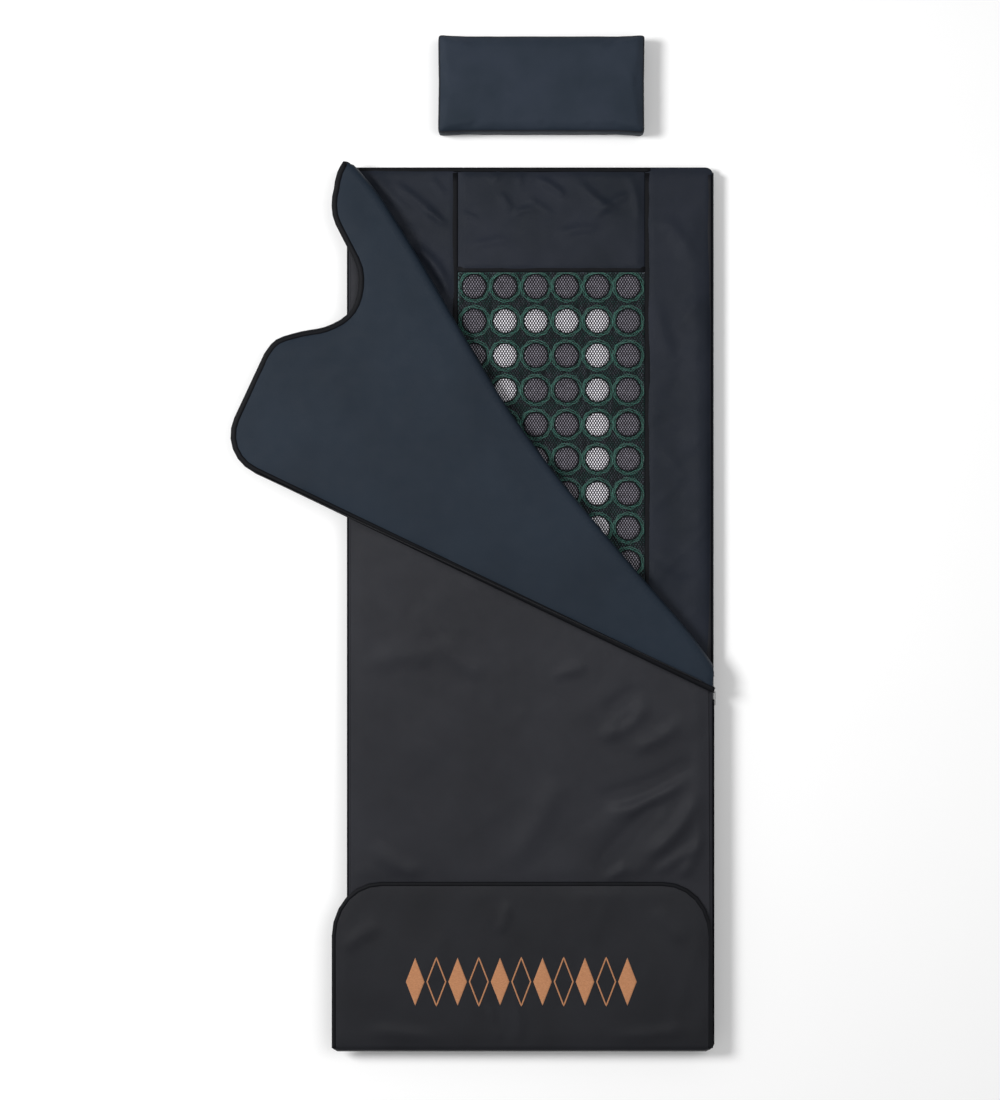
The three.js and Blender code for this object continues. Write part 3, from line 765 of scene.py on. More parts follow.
def stitches(name, path, length, gap, width, material):
    """A line of small raised stitches along a path of points."""
    run = spaced(path, 2 * MM)
    along = measured(run)
    verts, faces = [], []
    for k in range(int(along[-1] / (length + gap))):
        s0 = k * (length + gap)
        a, b = (point_at(run, along, s) for s in (s0, s0 + length))
        t = (b - a) / np.linalg.norm(b - a)
        side = np.cross([0, 0, 1.0], t)
        side = side / max(np.linalg.norm(side), 1e-9) * width / 2
        lift = np.array([0, 0, width * 0.7])
        n = len(verts)
        verts += [a - side, a + side, b + side, b - side, a * 0.8 + b * 0.2 + lift,
                  a * 0.2 + b * 0.8 + lift]
        faces += [(n, n + 4, n + 5, n + 3), (n + 1, n + 2, n + 5, n + 4), (n, n + 1, n + 4),
                  (n + 3, n + 5, n + 2), (n, n + 3, n + 2, n + 1)]
    return new_object(name, verts, faces, [material])


def build_tapes():
    """The black tapes along three sides of the stone mat, each with two rows of stitches."""
    for name in ("mat_tape_left", "mat_tape_right", "mat_tape_head"):
        low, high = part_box(name)
        across = name == "mat_tape_head"
        width = (high.y - low.y) if across else (high.x - low.x)
        mid = (low + high) / 2
        z = low.z - 0.2 * MM
        if across:
            path = [(low.x - 1 * MM, mid.y, z), (high.x + 1 * MM, mid.y, z)]
        else:
            path = [(mid.x, low.y, z), (mid.x, high.y, z)]
        path = spaced(path, 20 * MM)
        strip = sweep(name + "_cloth", path, ribbon_section(width, 1.1 * MM), [tape])
        attach(strip, "base", "binding_tape", name)
        for side in (-1, 1):
            line = path + np.array([0, side, 0] if across else [side, 0, 0]) * (width / 2 - 1.6 * MM)
            row = stitches(f"{name}_stitches_{'a' if side < 0 else 'b'}", line + [0, 0, 1.05 * MM],
                           *STITCH, tape)
            attach(row, "base", "binding_tape")
    build_head_binding()


def build_head_binding():
    """The black tape folded over the head edge."""
    low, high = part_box("head_edge_binding")
    y = BASE_HIGH.y + 0.4 * MM
    run = spaced([(low.x, y, 0), (high.x, y, 0)], 10 * MM)
    depth = high.y - low.y
    section = [(depth - 1 * MM, 22.2 * MM), (depth * 0.5, 23.6 * MM), (2 * MM, 23.4 * MM),
               (-1.2 * MM, 21.5 * MM), (-2.4 * MM, 17 * MM), (-2.2 * MM, 12 * MM),
               (-1.4 * MM, 12 * MM), (-1.4 * MM, 17 * MM), (-0.2 * MM, 20.6 * MM),
               (3 * MM, 22 * MM), (depth - 1 * MM, 21.6 * MM)]
    piece = sweep("head_binding", run, [(-s, h) for s, h in section], [tape])
    attach(piece, "base", "binding_tape", "head_edge_binding")


# ---- Stone mat ----

NET_DROP = 3.2 * MM
NET_STEP = 4.7 * MM
NET_SLOPE = 58
NET_CORD = (1.75 * MM, 0.3 * MM)
NET_INSET = 1.5 * MM
FLAT_TOP = 22.5 * MM
POCKET_RIDGE = 29 * MM
POCKET_WELL = 26 * MM
STONE_SEGMENTS = 28
STONE_PROFILE = ((0.0, 1.0), (0.45, 0.985), (0.75, 0.95), (0.92, 0.86), (0.985, 0.7), (1.0, 0.5),
                 (0.97, 0.2), (0.88, 0.02))
ROWS = sorted(n for n in nodes if n.startswith("stone_row_"))
STONES_PER_ROW = 6
PALE_COLUMNS = (1, 4)


def stone_centres():
    """[(row, column, x, y)] from the frame's rows."""
    found = []
    for r, name in enumerate(ROWS):
        low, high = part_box(name)
        edge = (high.y - low.y) / 2
        xs = np.linspace(low.x + edge, high.x - edge, STONES_PER_ROW)
        found += [(r, c, float(x), (low.y + high.y) / 2) for c, x in enumerate(xs)]
    return found


def is_pale(row, column):
    """Pale stones make a rectangle inside a border of dark ones."""
    first, last = 1, len(ROWS) - 2
    if row in (first, last):
        return 1 <= column <= STONES_PER_ROW - 2
    return first < row < last and column in PALE_COLUMNS


def build_stones():
    """A row of round flat stones per CAD row, each turned from the same profile."""
    segments, profile = STONE_SEGMENTS, STONE_PROFILE
    low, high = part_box(ROWS[0])
    height = high.z - low.z
    for r, node in enumerate(ROWS):
        verts, faces, shown = [], [], []
        for row, column, x, y in stone_centres():
            if row != r:
                continue
            wobble = 1 + 0.012 * math.sin(row * 2.3 + column * 4.1)
            n = len(verts)
            verts.append((x, y, low.z + height))
            for share, rise in profile[1:]:
                for k in range(segments):
                    a = 2 * math.pi * k / segments
                    radius = STONE_RADIUS * share * wobble
                    verts.append((x + radius * math.cos(a), y + radius * math.sin(a),
                                  low.z + height * rise))
            verts.append((x, y, low.z + height * 0.02))
            rings = len(profile) - 1
            for k in range(segments):
                j = (k + 1) % segments
                faces.append((n, n + 1 + k, n + 1 + j))
                for i in range(rings - 1):
                    a, b = n + 1 + i * segments, n + 1 + (i + 1) * segments
                    faces.append((a + k, b + k, b + j, a + j))
                a = n + 1 + (rings - 1) * segments
                faces.append((a + k, n + 1 + rings * segments, a + j))
            shown += [1 if is_pale(row, column) else 0] * (len(faces) - len(shown))
        stones = new_object(f"stones_{r + 1:02d}", verts, faces, [dark_stone, pale_stone], shown)
        attach(stones, "base", "stone", node)


def build_mat_cloth():
    """The backing: it dips between the stones and rises a little into a pocket round each one."""
    low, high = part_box("stone_mat_backing")
    centres = np.array([(x, y) for _, _, x, y in stone_centres()])
    outline = spaced([[low.x, low.y], [high.x, low.y], [high.x, MAT_HIGH.y], [low.x, MAT_HIGH.y]],
                     9 * MM, closed=True)
    base_z = low.z

    def nearest(xy):
        best = np.full(len(xy), 1.0)
        for c in centres:
            best = np.minimum(best, np.linalg.norm(xy - c, axis=1))
        return best

    def top(xy, d):
        near = nearest(xy)
        ridge = np.exp(-(((near - POCKET_RIDGE) / (4 * MM)) ** 2)) * 1.8 * MM
        well = -smooth((POCKET_WELL - near) / (3 * MM)) * 0.4 * MM
        edge = smooth(d / (5 * MM))
        lift = 1.2 * MM + ridge + rumple(xy, 12 * MM, 4) * 0.4 * MM
        return base_z + 1.2 * MM + lift * edge + well * edge

    def bottom(xy, d):
        return np.full(len(xy), base_z + 0.1 * MM) + (d < ON_RIM) * 1.1 * MM

    cloth = quilt("mat_ground", outline, 4.5 * MM, top, bottom, [mat_cloth], rings=())
    attach(cloth, "base", "mat_fabric", "stone_mat_backing")


def loops_round_stones(name, loops, thick, sides, material, slot):
    """Loops round every stone, lying on the net, used both for thread and for a black ring of painted
    shadow: (radius, waver, waves) in millimetres.
    """
    steps = 44
    angles = np.arange(steps) * 2 * math.pi / steps
    turns = np.arange(sides) * 2 * math.pi / sides
    verts, faces = [], []
    for row, column, x, y in stone_centres():
        for index, (radius, waver, waves) in enumerate(loops):
            phase = row * 1.7 + column * 2.9 + index
            r = (radius + waver * np.sin(waves * angles + phase)) * MM
            centre = np.stack([x + r * np.cos(angles), y + r * np.sin(angles)], axis=1)
            room = 1.5 * MM + thick
            centre = np.clip(centre, (MAT_LOW.x + room, MAT_LOW.y + room),
                             (MAT_HIGH.x - room, MAT_HIGH.y - room))
            r = np.hypot(centre[:, 0] - x, centre[:, 1] - y)
            z = net_height(centre) + 0.45 * MM + 0.2 * MM * index * (len(loops) > 1)
            rr = r[:, None] + thick * np.cos(turns)
            ring = np.stack([x + rr * np.cos(angles)[:, None], y + rr * np.sin(angles)[:, None],
                             z[:, None] + thick * np.sin(turns)], axis=2).reshape(-1, 3)
            n = len(verts) * steps * sides
            verts.append(ring)
            for k in range(steps):
                j = (k + 1) % steps
                faces += [(n + k * sides + s, n + j * sides + s, n + j * sides + (s + 1) % sides,
                           n + k * sides + (s + 1) % sides) for s in range(sides)]
    made = new_object(name, np.concatenate(verts), faces, [material])
    tidy_normals(made)
    return attach(made, "base", slot)


def build_rings():
    """A black ring round each stone, painted shadow where the stone's edge meets the mat, and rings of
    green embroidery that hold it in its pocket.
    """
    # A black ring just outside each stone's edge: painted shadow in the gap round the stone.
    loops_round_stones("stone_shadow_ring", ((25.3, 0, 0),), 0.9 * MM, 4, net_cord, "net")
    threads = ((27.0, 0.4, 7), (28.7, 1.3, 6), (30.4, 1.5, 8), (31.9, 1.1, 10))
    loops_round_stones("mat_rings", threads, 0.55 * MM, 3, green_thread, "mat_fabric")


def build_net():
    """The diamond net over the stones: flat cords in two directions, dipping between stones."""
    step = NET_STEP
    slope = math.radians(NET_SLOPE)
    width, thick = NET_CORD
    x0, x1 = MAT_LOW.x + NET_INSET, MAT_HIGH.x - NET_INSET
    y0, y1 = MAT_LOW.y + NET_INSET, MAT_HIGH.y - NET_INSET
    corners = np.array([(x0, y0), (x1, y0), (x1, y1), (x0, y1)])
    verts, faces, total = [], [], 0
    for turn in (slope, math.pi - slope):
        t = np.array([math.cos(turn), math.sin(turn)])
        n = np.array([-t[1], t[0]])
        for k in range(int((corners @ n).min() / step), int((corners @ n).max() / step) + 1):
            foot = n * k * step
            across = sorted(((x0 - foot[0]) / t[0], (x1 - foot[0]) / t[0]))
            along = sorted(((y0 - foot[1]) / t[1], (y1 - foot[1]) / t[1]))
            s0, s1 = max(across[0], along[0]), min(across[1], along[1])
            if s1 - s0 < step:
                continue
            count = max(2, int((s1 - s0) / (6 * MM)))
            xy = foot + np.linspace(s0, s1, count)[:, None] * t
            z = net_height(xy) + (0.15 * MM if turn < math.pi / 2 else 0)
            left = np.column_stack([xy - n * width / 2, z])
            crest = np.column_stack([xy, z + thick])
            right = np.column_stack([xy + n * width / 2, z])
            verts.append(np.stack([left, crest, right], axis=1).reshape(-1, 3))
            for i in range(count - 1):
                q = total + i * 3
                faces += [(q, q + 1, q + 4, q + 3), (q + 1, q + 2, q + 5, q + 4),
                          (q + 2, q, q + 3, q + 5)]
            last = total + (count - 1) * 3
            faces += [(total + 2, total + 1, total), (last, last + 1, last + 2)]
            total += count * 3
    net = new_object("mat_net", np.concatenate(verts), faces, [net_cord], shade=False)
    tidy_normals(net)
    attach(net, "base", "net", "stone_mat_net")


def net_height(xy):
    """Height of the net: over the stones, down between them, and down to the mat at its edge."""
    low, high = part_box(ROWS[0])
    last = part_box(ROWS[-1])[0]
    edge = (high.y - low.y) / 2
    pitch_x = (high.x - low.x - 2 * edge) / (STONES_PER_ROW - 1)
    pitch_y = (high.y - edge - (last.y + edge)) / (len(ROWS) - 1)
    fx = (xy[:, 0] - low.x - edge) / pitch_x
    fy = (xy[:, 1] - last.y - edge) / pitch_y
    off = np.hypot((fx - np.round(fx)) * pitch_x, (fy - np.round(fy)) * pitch_y)
    border = np.minimum.reduce([xy[:, 0] - MAT_LOW.x, MAT_HIGH.x - xy[:, 0], xy[:, 1] - MAT_LOW.y,
                                MAT_HIGH.y - xy[:, 1]])
    dip = smooth((off - FLAT_TOP) / (6 * MM)) * NET_DROP
    sunk = smooth((5 * MM - border) / (5 * MM))
    return high.z + 0.35 * MM - dip * (1 - sunk) - sunk * (NET_DROP + 1 * MM)


# ---- Cover ----

# How far the rolled edge of the fold lies from the hinge line, at places along it.
FOLD_KNOTS = ((-60, -20), (40, -24), (130, -17), (260, 3), (400, 22), (540, 40), (700, 50),
              (870, 46), (1080, 37), (1230, 36), (1300, 48), (1360, 60))
ROLL_OUTER = BEND_RADIUS + COVER_HALF
HALF_BEND = BEND_RADIUS * math.pi / 2
HEAD_LIMIT = BASE_HIGH.y + 1 * MM
HEAD_RISE = 6 * MM
HEAD_CORNER = np.array([[-385, 896.5], [-391, 884], [-396, 866]]) * MM
# Degrees round the bend: its ends, the angle that points nearer its middle are moved out to, and
# the rows of points along it.
BEND_END = 78
NO_TURN = 6
BEND_STEPS = (-BEND_END, -60, -42, -NO_TURN, NO_TURN, 42, 60, BEND_END)
COVER_STEP = 11 * MM
# The cover's edges in plan: at the left, at the fold's open end, round the bend, and the foot corners.
COVER_EDGE = 0.3712
BEND_EDGE = 0.374
COVER_FOOT = -0.8965
FOOT_RIGHT_X = 0.3715
# The lower cover's face, a little inside those edges.
FACE_EDGE = 0.3665
FACE_FOOT = -0.892
# Where the search for the fold's head end starts, and how many steps it takes.
NEAR_HEAD = 1.25
SETTLE_STEPS = 30


def fold_centre(v):
    """Where the fold's bend has its centre, across the hinge line, at a place along it."""
    knots = np.array(FOLD_KNOTS) * MM
    fine = np.linspace(knots[0, 0], knots[-1, 0], 200)
    line = np.interp(fine, knots[:, 0], knots[:, 1])
    kernel = np.hanning(25)
    padded_line = np.pad(line, 12, mode="edge")
    line = np.convolve(padded_line, kernel / kernel.sum(), mode="valid")
    return np.interp(v, fine, line) + ROLL_OUTER


def unfold(uv, layer):
    """From (across, along) on the lower (-1) or upper (+1) layer to the flat cloth."""
    reach = uv[:, 0] - fold_centre(uv[:, 1]) + HALF_BEND
    return np.stack([layer * reach, uv[:, 1]], axis=1)


def fold_up(cv, w):
    """From the flat cloth and the height towards the lining, to places in the frame."""
    c, v = cv[:, 0], cv[:, 1]
    least = math.radians(NO_TURN) * BEND_RADIUS
    c = np.where(np.abs(c) < least, np.where(c < 0, -least, least), c)
    centre = fold_centre(v)
    phi = np.clip(c / BEND_RADIUS, -math.pi / 2, math.pi / 2)
    beyond = np.maximum(np.abs(c) - HALF_BEND, 0)
    radius = BEND_RADIUS + w
    u = centre + beyond - radius * np.cos(phi)
    z = FOLD_Z + radius * np.sin(phi)
    xy = from_fold(np.stack([u, v], axis=1))
    return np.column_stack([xy, z])


def along_at_x(u, x):
    """The place along the hinge line where a line u across from it meets x."""
    return (FOLD_POINT[0] - x + u * ACROSS[0]) / -ALONG[0]


def along_at_y(u, y):
    return (y - FOLD_POINT[1] - u * ACROSS[1]) / ALONG[1]


def settle(rule, v, reach=0.0):
    """The place along the fold where a boundary meets a line this far out from the bend's centre."""
    for _ in range(SETTLE_STEPS):
        v = rule(float(fold_centre(v)) - reach)
    return v


def head_end(degrees):
    """Where the bend's head end lies at one angle round the bend: it rises towards the flap."""
    return HEAD_LIMIT + HEAD_RISE * smooth((degrees + BEND_END) / (2 * BEND_END))


def fold_ends():
    """Where the bend's centre line ends: at the open side, and at the head below and above."""
    return (settle(lambda u: along_at_x(u, COVER_EDGE), 0.0),
            settle(lambda u: along_at_y(u, head_end(-BEND_END)), NEAR_HEAD),
            settle(lambda u: along_at_y(u, head_end(BEND_END)), NEAR_HEAD))


def flap_free_edge():
    """The flap's edge, from its head corner round to its end at the open side."""
    outline = outline_of("flap_lining")
    outline = np.roll(outline, -int(np.argmax(outline[:, 1])), axis=0)
    free = outline[:int(np.argmax(outline[:, 0]))]
    free = free[np.arange(len(free)) >= int(np.argmax(free[:, 1] < HEAD_CORNER[-1, 1] - 8 * MM))]
    first = from_fold(np.array([[fold_centre(fold_ends()[2]), fold_ends()[2]]]))
    tip = from_fold(np.array([[8 * MM, -3 * MM]]))
    return np.vstack([first, HEAD_CORNER, free, tip])


COVER_CREASES = (((345, -368), (226, -515), 15, 6.0, 14), ((292, -366), (128, -560), 15, -4.0, -10),
                 ((345, -300), (118, -388), 16, -4.5, 22), ((330, -330), (150, -425), 14, 4.5, 14),
                 ((222, -158), (146, -216), 13, -3.5, 4), ((216, -212), (168, -246), 11, -3.0, 0),
                 ((250, -190), (130, -270), 16, 4.0, 6), ((310, -230), (200, -290), 14, 3.0, 6),
                 ((352, -440), (300, -560), 12, 3.5, 6), ((200, -520), (150, -562), 10, 3.0, 0),
                 ((-80, -140), (-200, -60), 20, 2.5, 8), ((-340, -120), (-180, -90), 22, 2.0, 8),
                 ((60, -330), (-60, -540), 26, 3.0, 14), ((-330, -480), (-210, -548), 18, 2.5, -8),
                 ((40, -140), (120, -120), 12, 2.5, 3), ((350, -480), (250, -545), 11, 3.0, -4))


def lower_relief(xy):
    """Height of the lower cover's folds, strongest on the right."""
    slow = rumple(xy, 150 * MM, 21, 35, 1.6)
    folds = rumple(xy, 55 * MM, 25, 38, 3.0)
    strength = 0.35 + 0.65 * smooth((xy[:, 0] - 0.02) / 0.25)
    lift = (slow * 0.5 + 0.5) * 3.0 * MM + np.clip(folds, 0, 1) * 3.0 * MM * strength
    for item in COVER_CREASES:
        lift = lift + scaled_crease(xy, item) * 1.25
    return np.maximum(lift, 0)


def flap_relief(xy):
    """Height of the flap's long soft swells."""
    slow = rumple(xy, 150 * MM, 31, -30, 1.5)
    fine = rumple(xy, 60 * MM, 33, -40, 2.5)
    return (slow * 0.5 + 0.5) * 3.6 * MM + np.clip(fine, 0, 1) * 1.4 * MM


def cover_outline(v_low, v_high):
    """The whole cover laid flat: lower layer, round the bend at the head, flap, and back round."""
    corner = {name: to_fold(np.array([p])) for name, p in {
        "foot_right": (FOOT_RIGHT_X, COVER_FOOT), "foot_left": (-COVER_EDGE, COVER_FOOT),
        "head_left": (-COVER_EDGE, HEAD_LIMIT)}.items()}
    low_end = [fold_centre(v_low), v_low]
    right = spaced(np.vstack([low_end, corner["foot_right"][0]]), COVER_STEP)
    foot = spaced(np.vstack([corner["foot_right"], corner["foot_left"]]), COVER_STEP)[1:]
    left = spaced(np.vstack([corner["foot_left"], corner["head_left"]]), COVER_STEP)[1:]
    head = spaced(np.vstack([corner["head_left"][0], [fold_centre(v_high), v_high]]), COVER_STEP)[1:]
    low_run = unfold(np.vstack([right, foot, left, head]), -1)

    def bend_end(angle, rule, near):
        v = settle(rule, near, ROLL_OUTER * math.cos(math.radians(angle)))
        return [math.radians(angle) * BEND_RADIUS, v]

    top_bend = np.array([bend_end(a, lambda u: along_at_y(u, head_end(a)), v_high)
                         for a in BEND_STEPS])
    bottom_bend = np.array([bend_end(a, lambda u: along_at_x(u, BEND_EDGE), v_low)
                            for a in BEND_STEPS[::-1]])
    free_edge = np.vstack([to_fold(flap_free_edge()), low_end])
    high_run = unfold(spaced(free_edge, COVER_STEP * 0.8), 1)
    outline = np.vstack([low_run, top_bend, high_run, bottom_bend])
    keep = [0]
    for i in range(1, len(outline)):
        if np.linalg.norm(outline[i] - outline[keep[-1]]) > 0.5 * MM:
            keep.append(i)
    outline = outline[keep]
    after = np.roll(outline, -1, axis=0)
    area = np.sum(outline[:, 0] * after[:, 1] - outline[:, 1] * after[:, 0])
    return outline[::-1] if area < 0 else outline


def bend_points(v_low, v_high, outline):
    """Rows of points along the bend, so that the cloth turns evenly there."""
    rows = []
    for a in BEND_STEPS:
        vs = np.arange(v_low - 20 * MM, v_high + 10 * MM, COVER_STEP)
        rows.append(np.stack([np.full(len(vs), math.radians(a) * BEND_RADIUS), vs], axis=1))
    for c in (-HALF_BEND, HALF_BEND, -HALF_BEND - 6 * MM, HALF_BEND + 6 * MM):
        vs = np.arange(v_low + COVER_STEP, v_high - COVER_STEP / 2, COVER_STEP)
        rows.append(np.stack([np.full(len(vs), c), vs], axis=1))
    extra = np.concatenate(rows)
    return extra[inside(extra, outline) & (distance_to(extra, outline) > 6 * MM)]


def build_cover():
    """The quilted cover in one cloth, from the lower layer round the bend to the flap."""
    v_low, v_high = fold_ends()[:2]
    outline = cover_outline(v_low, v_high)

    def leg_fade(cv):
        return smooth((np.abs(cv[:, 0]) - HALF_BEND - 5 * MM) / (60 * MM))

    def plan(cv):
        return fold_up(cv, np.zeros(len(cv)))[:, :2]

    def lining_side(cv, d):
        lift = np.where(cv[:, 0] > 0, flap_relief(plan(cv)), 0) * leg_fade(cv) * smooth(d / (30 * MM))
        return COVER_HALF * crown(d, 5 * MM) + lift

    def shell_side(cv, d):
        return -COVER_HALF * crown(d, 5 * MM)

    cover = quilt("cover_quilt", outline, COVER_STEP, lining_side, shell_side,
                  [flap_lining, cover_cloth], rings=(0.8 * MM, 2.5 * MM), place=fold_up,
                  extra=bend_points(v_low, v_high, outline),
                  keep_out=lambda p: np.abs(p[:, 0]) < HALF_BEND + 10 * MM)
    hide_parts("lower_cover_lining", "flap_shell", "flap_lining", "cover_fold_strip")
    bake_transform(cover)


def build_cover_face():
    """The lower cover's outer cloth with its soft folds, from the foot to the fold."""
    v_low, v_high = fold_ends()[:2]
    v = np.linspace(v_low - 20 * MM, v_high, 160)
    fold = from_fold(np.stack([fold_centre(v) + 2 * MM, v], axis=1))
    x0, x1 = -FACE_EDGE, FACE_EDGE
    fold = fold[(fold[:, 0] < x1) & (fold[:, 0] > x0) & (fold[:, 1] < HEAD_LIMIT - 5 * MM)]
    corners = np.vstack([[x0, FACE_FOOT], [x1, FACE_FOOT], fold, [x0, fold[-1, 1]]])
    outline = spaced(corners, 9 * MM, closed=True)

    def top(xy, d):
        lift = lower_relief(xy) * smooth(d / (26 * MM)) * lower_room(xy)
        return COVER_TOP + 0.1 * MM + 0.3 * MM * smooth(d / (8 * MM)) + lift

    def bottom(xy, d):
        return np.where(d < ON_RIM, COVER_TOP + 0.1 * MM, COVER_TOP - 0.4 * MM)

    face = quilt("lower_cover_face", outline, 8 * MM, top, bottom, [cover_cloth], rings=(2 * MM,))
    attach(face, "base", "cover_fabric", "lower_cover_shell")


def lower_room(xy):
    """1 where nothing lies on the lower cover, 0 under the flap and the foot flap."""
    flap = np.vstack([flap_free_edge(), from_fold(np.array([[0.0, 0.0], [0.0, 1.3]]))])
    far = distance_to(xy, flap)
    clear = np.where(inside(xy, flap), 0.0, smooth(far / (25 * MM)))
    foot_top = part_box("foot_flap_outer")[1].y
    return clear * smooth((xy[:, 1] - foot_top - 4 * MM) / (30 * MM))


def build_flap_binding():
    """The black tape folded over the flap's free edge, from the bend's head end to the open side."""
    middle = (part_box("flap_shell")[0].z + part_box("flap_lining")[1].z) / 2
    start = []
    for degrees in (8, 25, 42, 60, 75):
        a = math.radians(degrees)
        reach = BEND_RADIUS * math.cos(a)
        v = settle(lambda u: along_at_y(u, head_end(degrees)), NEAR_HEAD, reach)
        place = from_fold(np.array([[fold_centre(v) - reach, v]]))[0]
        start.append([place[0], place[1], FOLD_Z + BEND_RADIUS * math.sin(a)])
    free = spaced(flap_free_edge(), 8 * MM)
    path = np.vstack([start, np.column_stack([free, np.full(len(free), middle)])])
    w, h = 10 * MM, COVER_HALF
    section = [(w, h + 0.9 * MM), (w * 0.5, h + 1.3 * MM), (1 * MM, h * 0.9), (-1.3 * MM, h * 0.45),
               (-1.7 * MM, 0), (-1.3 * MM, -h * 0.45), (1 * MM, -h * 0.9), (w * 0.5, -h - 0.9 * MM),
               (w, -h - 0.7 * MM), (w, -h - 0.1 * MM), (w * 0.5, -h - 0.2 * MM), (1.6 * MM, -h * 0.7),
               (-0.6 * MM, 0), (1.6 * MM, h * 0.7), (w * 0.5, h + 0.4 * MM), (w, h + 0.2 * MM)]
    binding = sweep("flap_binding", path, section, [tape])
    attach(binding, "cover_flap", "binding_tape", "flap_edge_binding")


GUSSET_WALL = 1.6 * MM
GUSSET_Z = (18 * MM, 47 * MM)
LEFT_GUSSET_Y = (-0.897, 0.9)
FOOT_GUSSET_Y = -0.896
GUSSET_CORNER = 10 * MM
GUSSET_CORNER_Y = -0.886
GUSSET_END_Y = -0.884


def build_gussets():
    """The walls that join base and cover along the left side and round the foot end."""
    wall = GUSSET_WALL
    z0, z1 = GUSSET_Z
    x = BASE_LOW.x - 0.6 * MM
    section = [(0, z0), (0.6 * MM, 0.5 * (z0 + z1)), (0, z1), (-wall, z1 + 1 * MM),
               (-wall - 0.8 * MM, 0.5 * (z0 + z1)), (-wall, z0 - 1 * MM)]
    left = spaced([(x, y, 0) for y in LEFT_GUSSET_Y], 15 * MM)
    piece = sweep("left_gusset", left, [(-s, h) for s, h in section], [cover_cloth])
    attach(piece, "base", "cover_fabric", "left_side_gusset")
    r = GUSSET_CORNER
    corner = [(BASE_HIGH.x - r + r * math.sin(a), GUSSET_CORNER_Y - r * math.cos(a), 0)
              for a in np.linspace(0, math.pi / 2, 6)]
    ends = [(BASE_LOW.x, FOOT_GUSSET_Y, 0), (BASE_HIGH.x, GUSSET_END_Y, 0)]
    foot = spaced(ends[:1] + corner + ends[1:], 15 * MM)
    piece = sweep("foot_gusset", foot, section, [cover_cloth])
    attach(piece, "base", "cover_fabric", "foot_end_gusset")


# ---- Foot flap ----

FOOT_LOW, FOOT_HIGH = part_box("foot_flap_outer")
FOOT_MIDDLE = 53 * MM
FOOT_HALF = 1.6 * MM
FOOT_BEND = 6 * MM
FOOT_RISE = 8 * MM
FOOT_INSET = 2.3 * MM
FOOT_CREASES = (((-83, -800), (-66, -893), 7, 2.2, 2), ((-30, -742), (-18, -893), 9, 1.8, -3),
                ((-45, -590), (-64, -668), 9, 1.6, 2), ((-70, -760), (-74, -880), 8, -1.3, 2),
                ((-385, -700), (-300, -640), 14, 1.8, 6), ((250, -600), (320, -680), 16, 1.4, -8),
                ((-340, -860), (-180, -880), 12, 1.5, 6), ((160, -870), (330, -850), 12, 1.5, -6))


def foot_relief(xy):
    """Height of the foot flap's folds."""
    lift = (rumple(xy, 110 * MM, 41, 80, 1.4) * 0.5 + 0.5) * 3.4 * MM
    lift = lift + np.clip(rumple(xy, 42 * MM, 45, 75, 2.5), 0, 1) * 1.5 * MM
    for item in FOOT_CREASES:
        lift = lift + scaled_crease(xy, item) * 1.6
    return np.maximum(lift, 0)


def foot_edge():
    """The foot flap's outline, with its foot edge carried on down the end of the blanket."""
    outline = spaced(outline_of("foot_flap_outer"), 9 * MM, closed=True)
    drop = FOOT_MIDDLE - FOOT_LOW.z - FOOT_BEND
    lowest = outline[:, 1].min()
    outline[:, 1] -= np.where(outline[:, 1] < lowest + 1e-6, drop + FOOT_BEND * 0.57 - FOOT_INSET, 0)
    outline[:, 1] += FOOT_RISE * smooth((outline[:, 1] - FOOT_HIGH.y + 100 * MM) / (100 * MM))
    return outline


def foot_place(xy, h):
    """Flat over the cover, then round the foot edge and straight down."""
    corner = FOOT_LOW.y + FOOT_BEND + FOOT_INSET
    past = np.maximum(corner - xy[:, 1], 0)
    turn = np.clip(past / FOOT_BEND, 0, math.pi / 2)
    down = np.maximum(past - FOOT_BEND * math.pi / 2, 0)
    y = np.where(past > 0, corner - (FOOT_BEND + h) * np.sin(turn), xy[:, 1])
    z = np.where(past > 0, FOOT_MIDDLE - FOOT_BEND + (FOOT_BEND + h) * np.cos(turn) - down,
                 FOOT_MIDDLE + h)
    return np.column_stack([xy[:, 0], y, z])


def foot_top(xy):
    """Height of the flap's upper face over the panel that lies on the cover."""
    d = distance_to(xy, foot_edge())
    fade = smooth(d / (28 * MM)) * smooth((xy[:, 1] - FOOT_LOW.y) / (40 * MM))
    return FOOT_HALF * crown(d, 3 * MM) + foot_relief(xy) * fade


def build_foot_flap():
    """The quilted foot flap, with its binding and its embroidered motif."""
    outline = foot_edge()

    def under(xy, d):
        return -FOOT_HALF * 0.6 * crown(d, 3 * MM)

    flap = quilt("foot_flap_quilt", outline, 10 * MM, lambda xy, d: foot_top(xy), under,
                 [foot_cloth, base_lining], rings=(0.8 * MM, 3 * MM), place=foot_place)
    attach(flap, "foot_flap", "cover_fabric", "foot_flap_outer", "foot_flap_padding")
    build_foot_binding()
    build_motif()


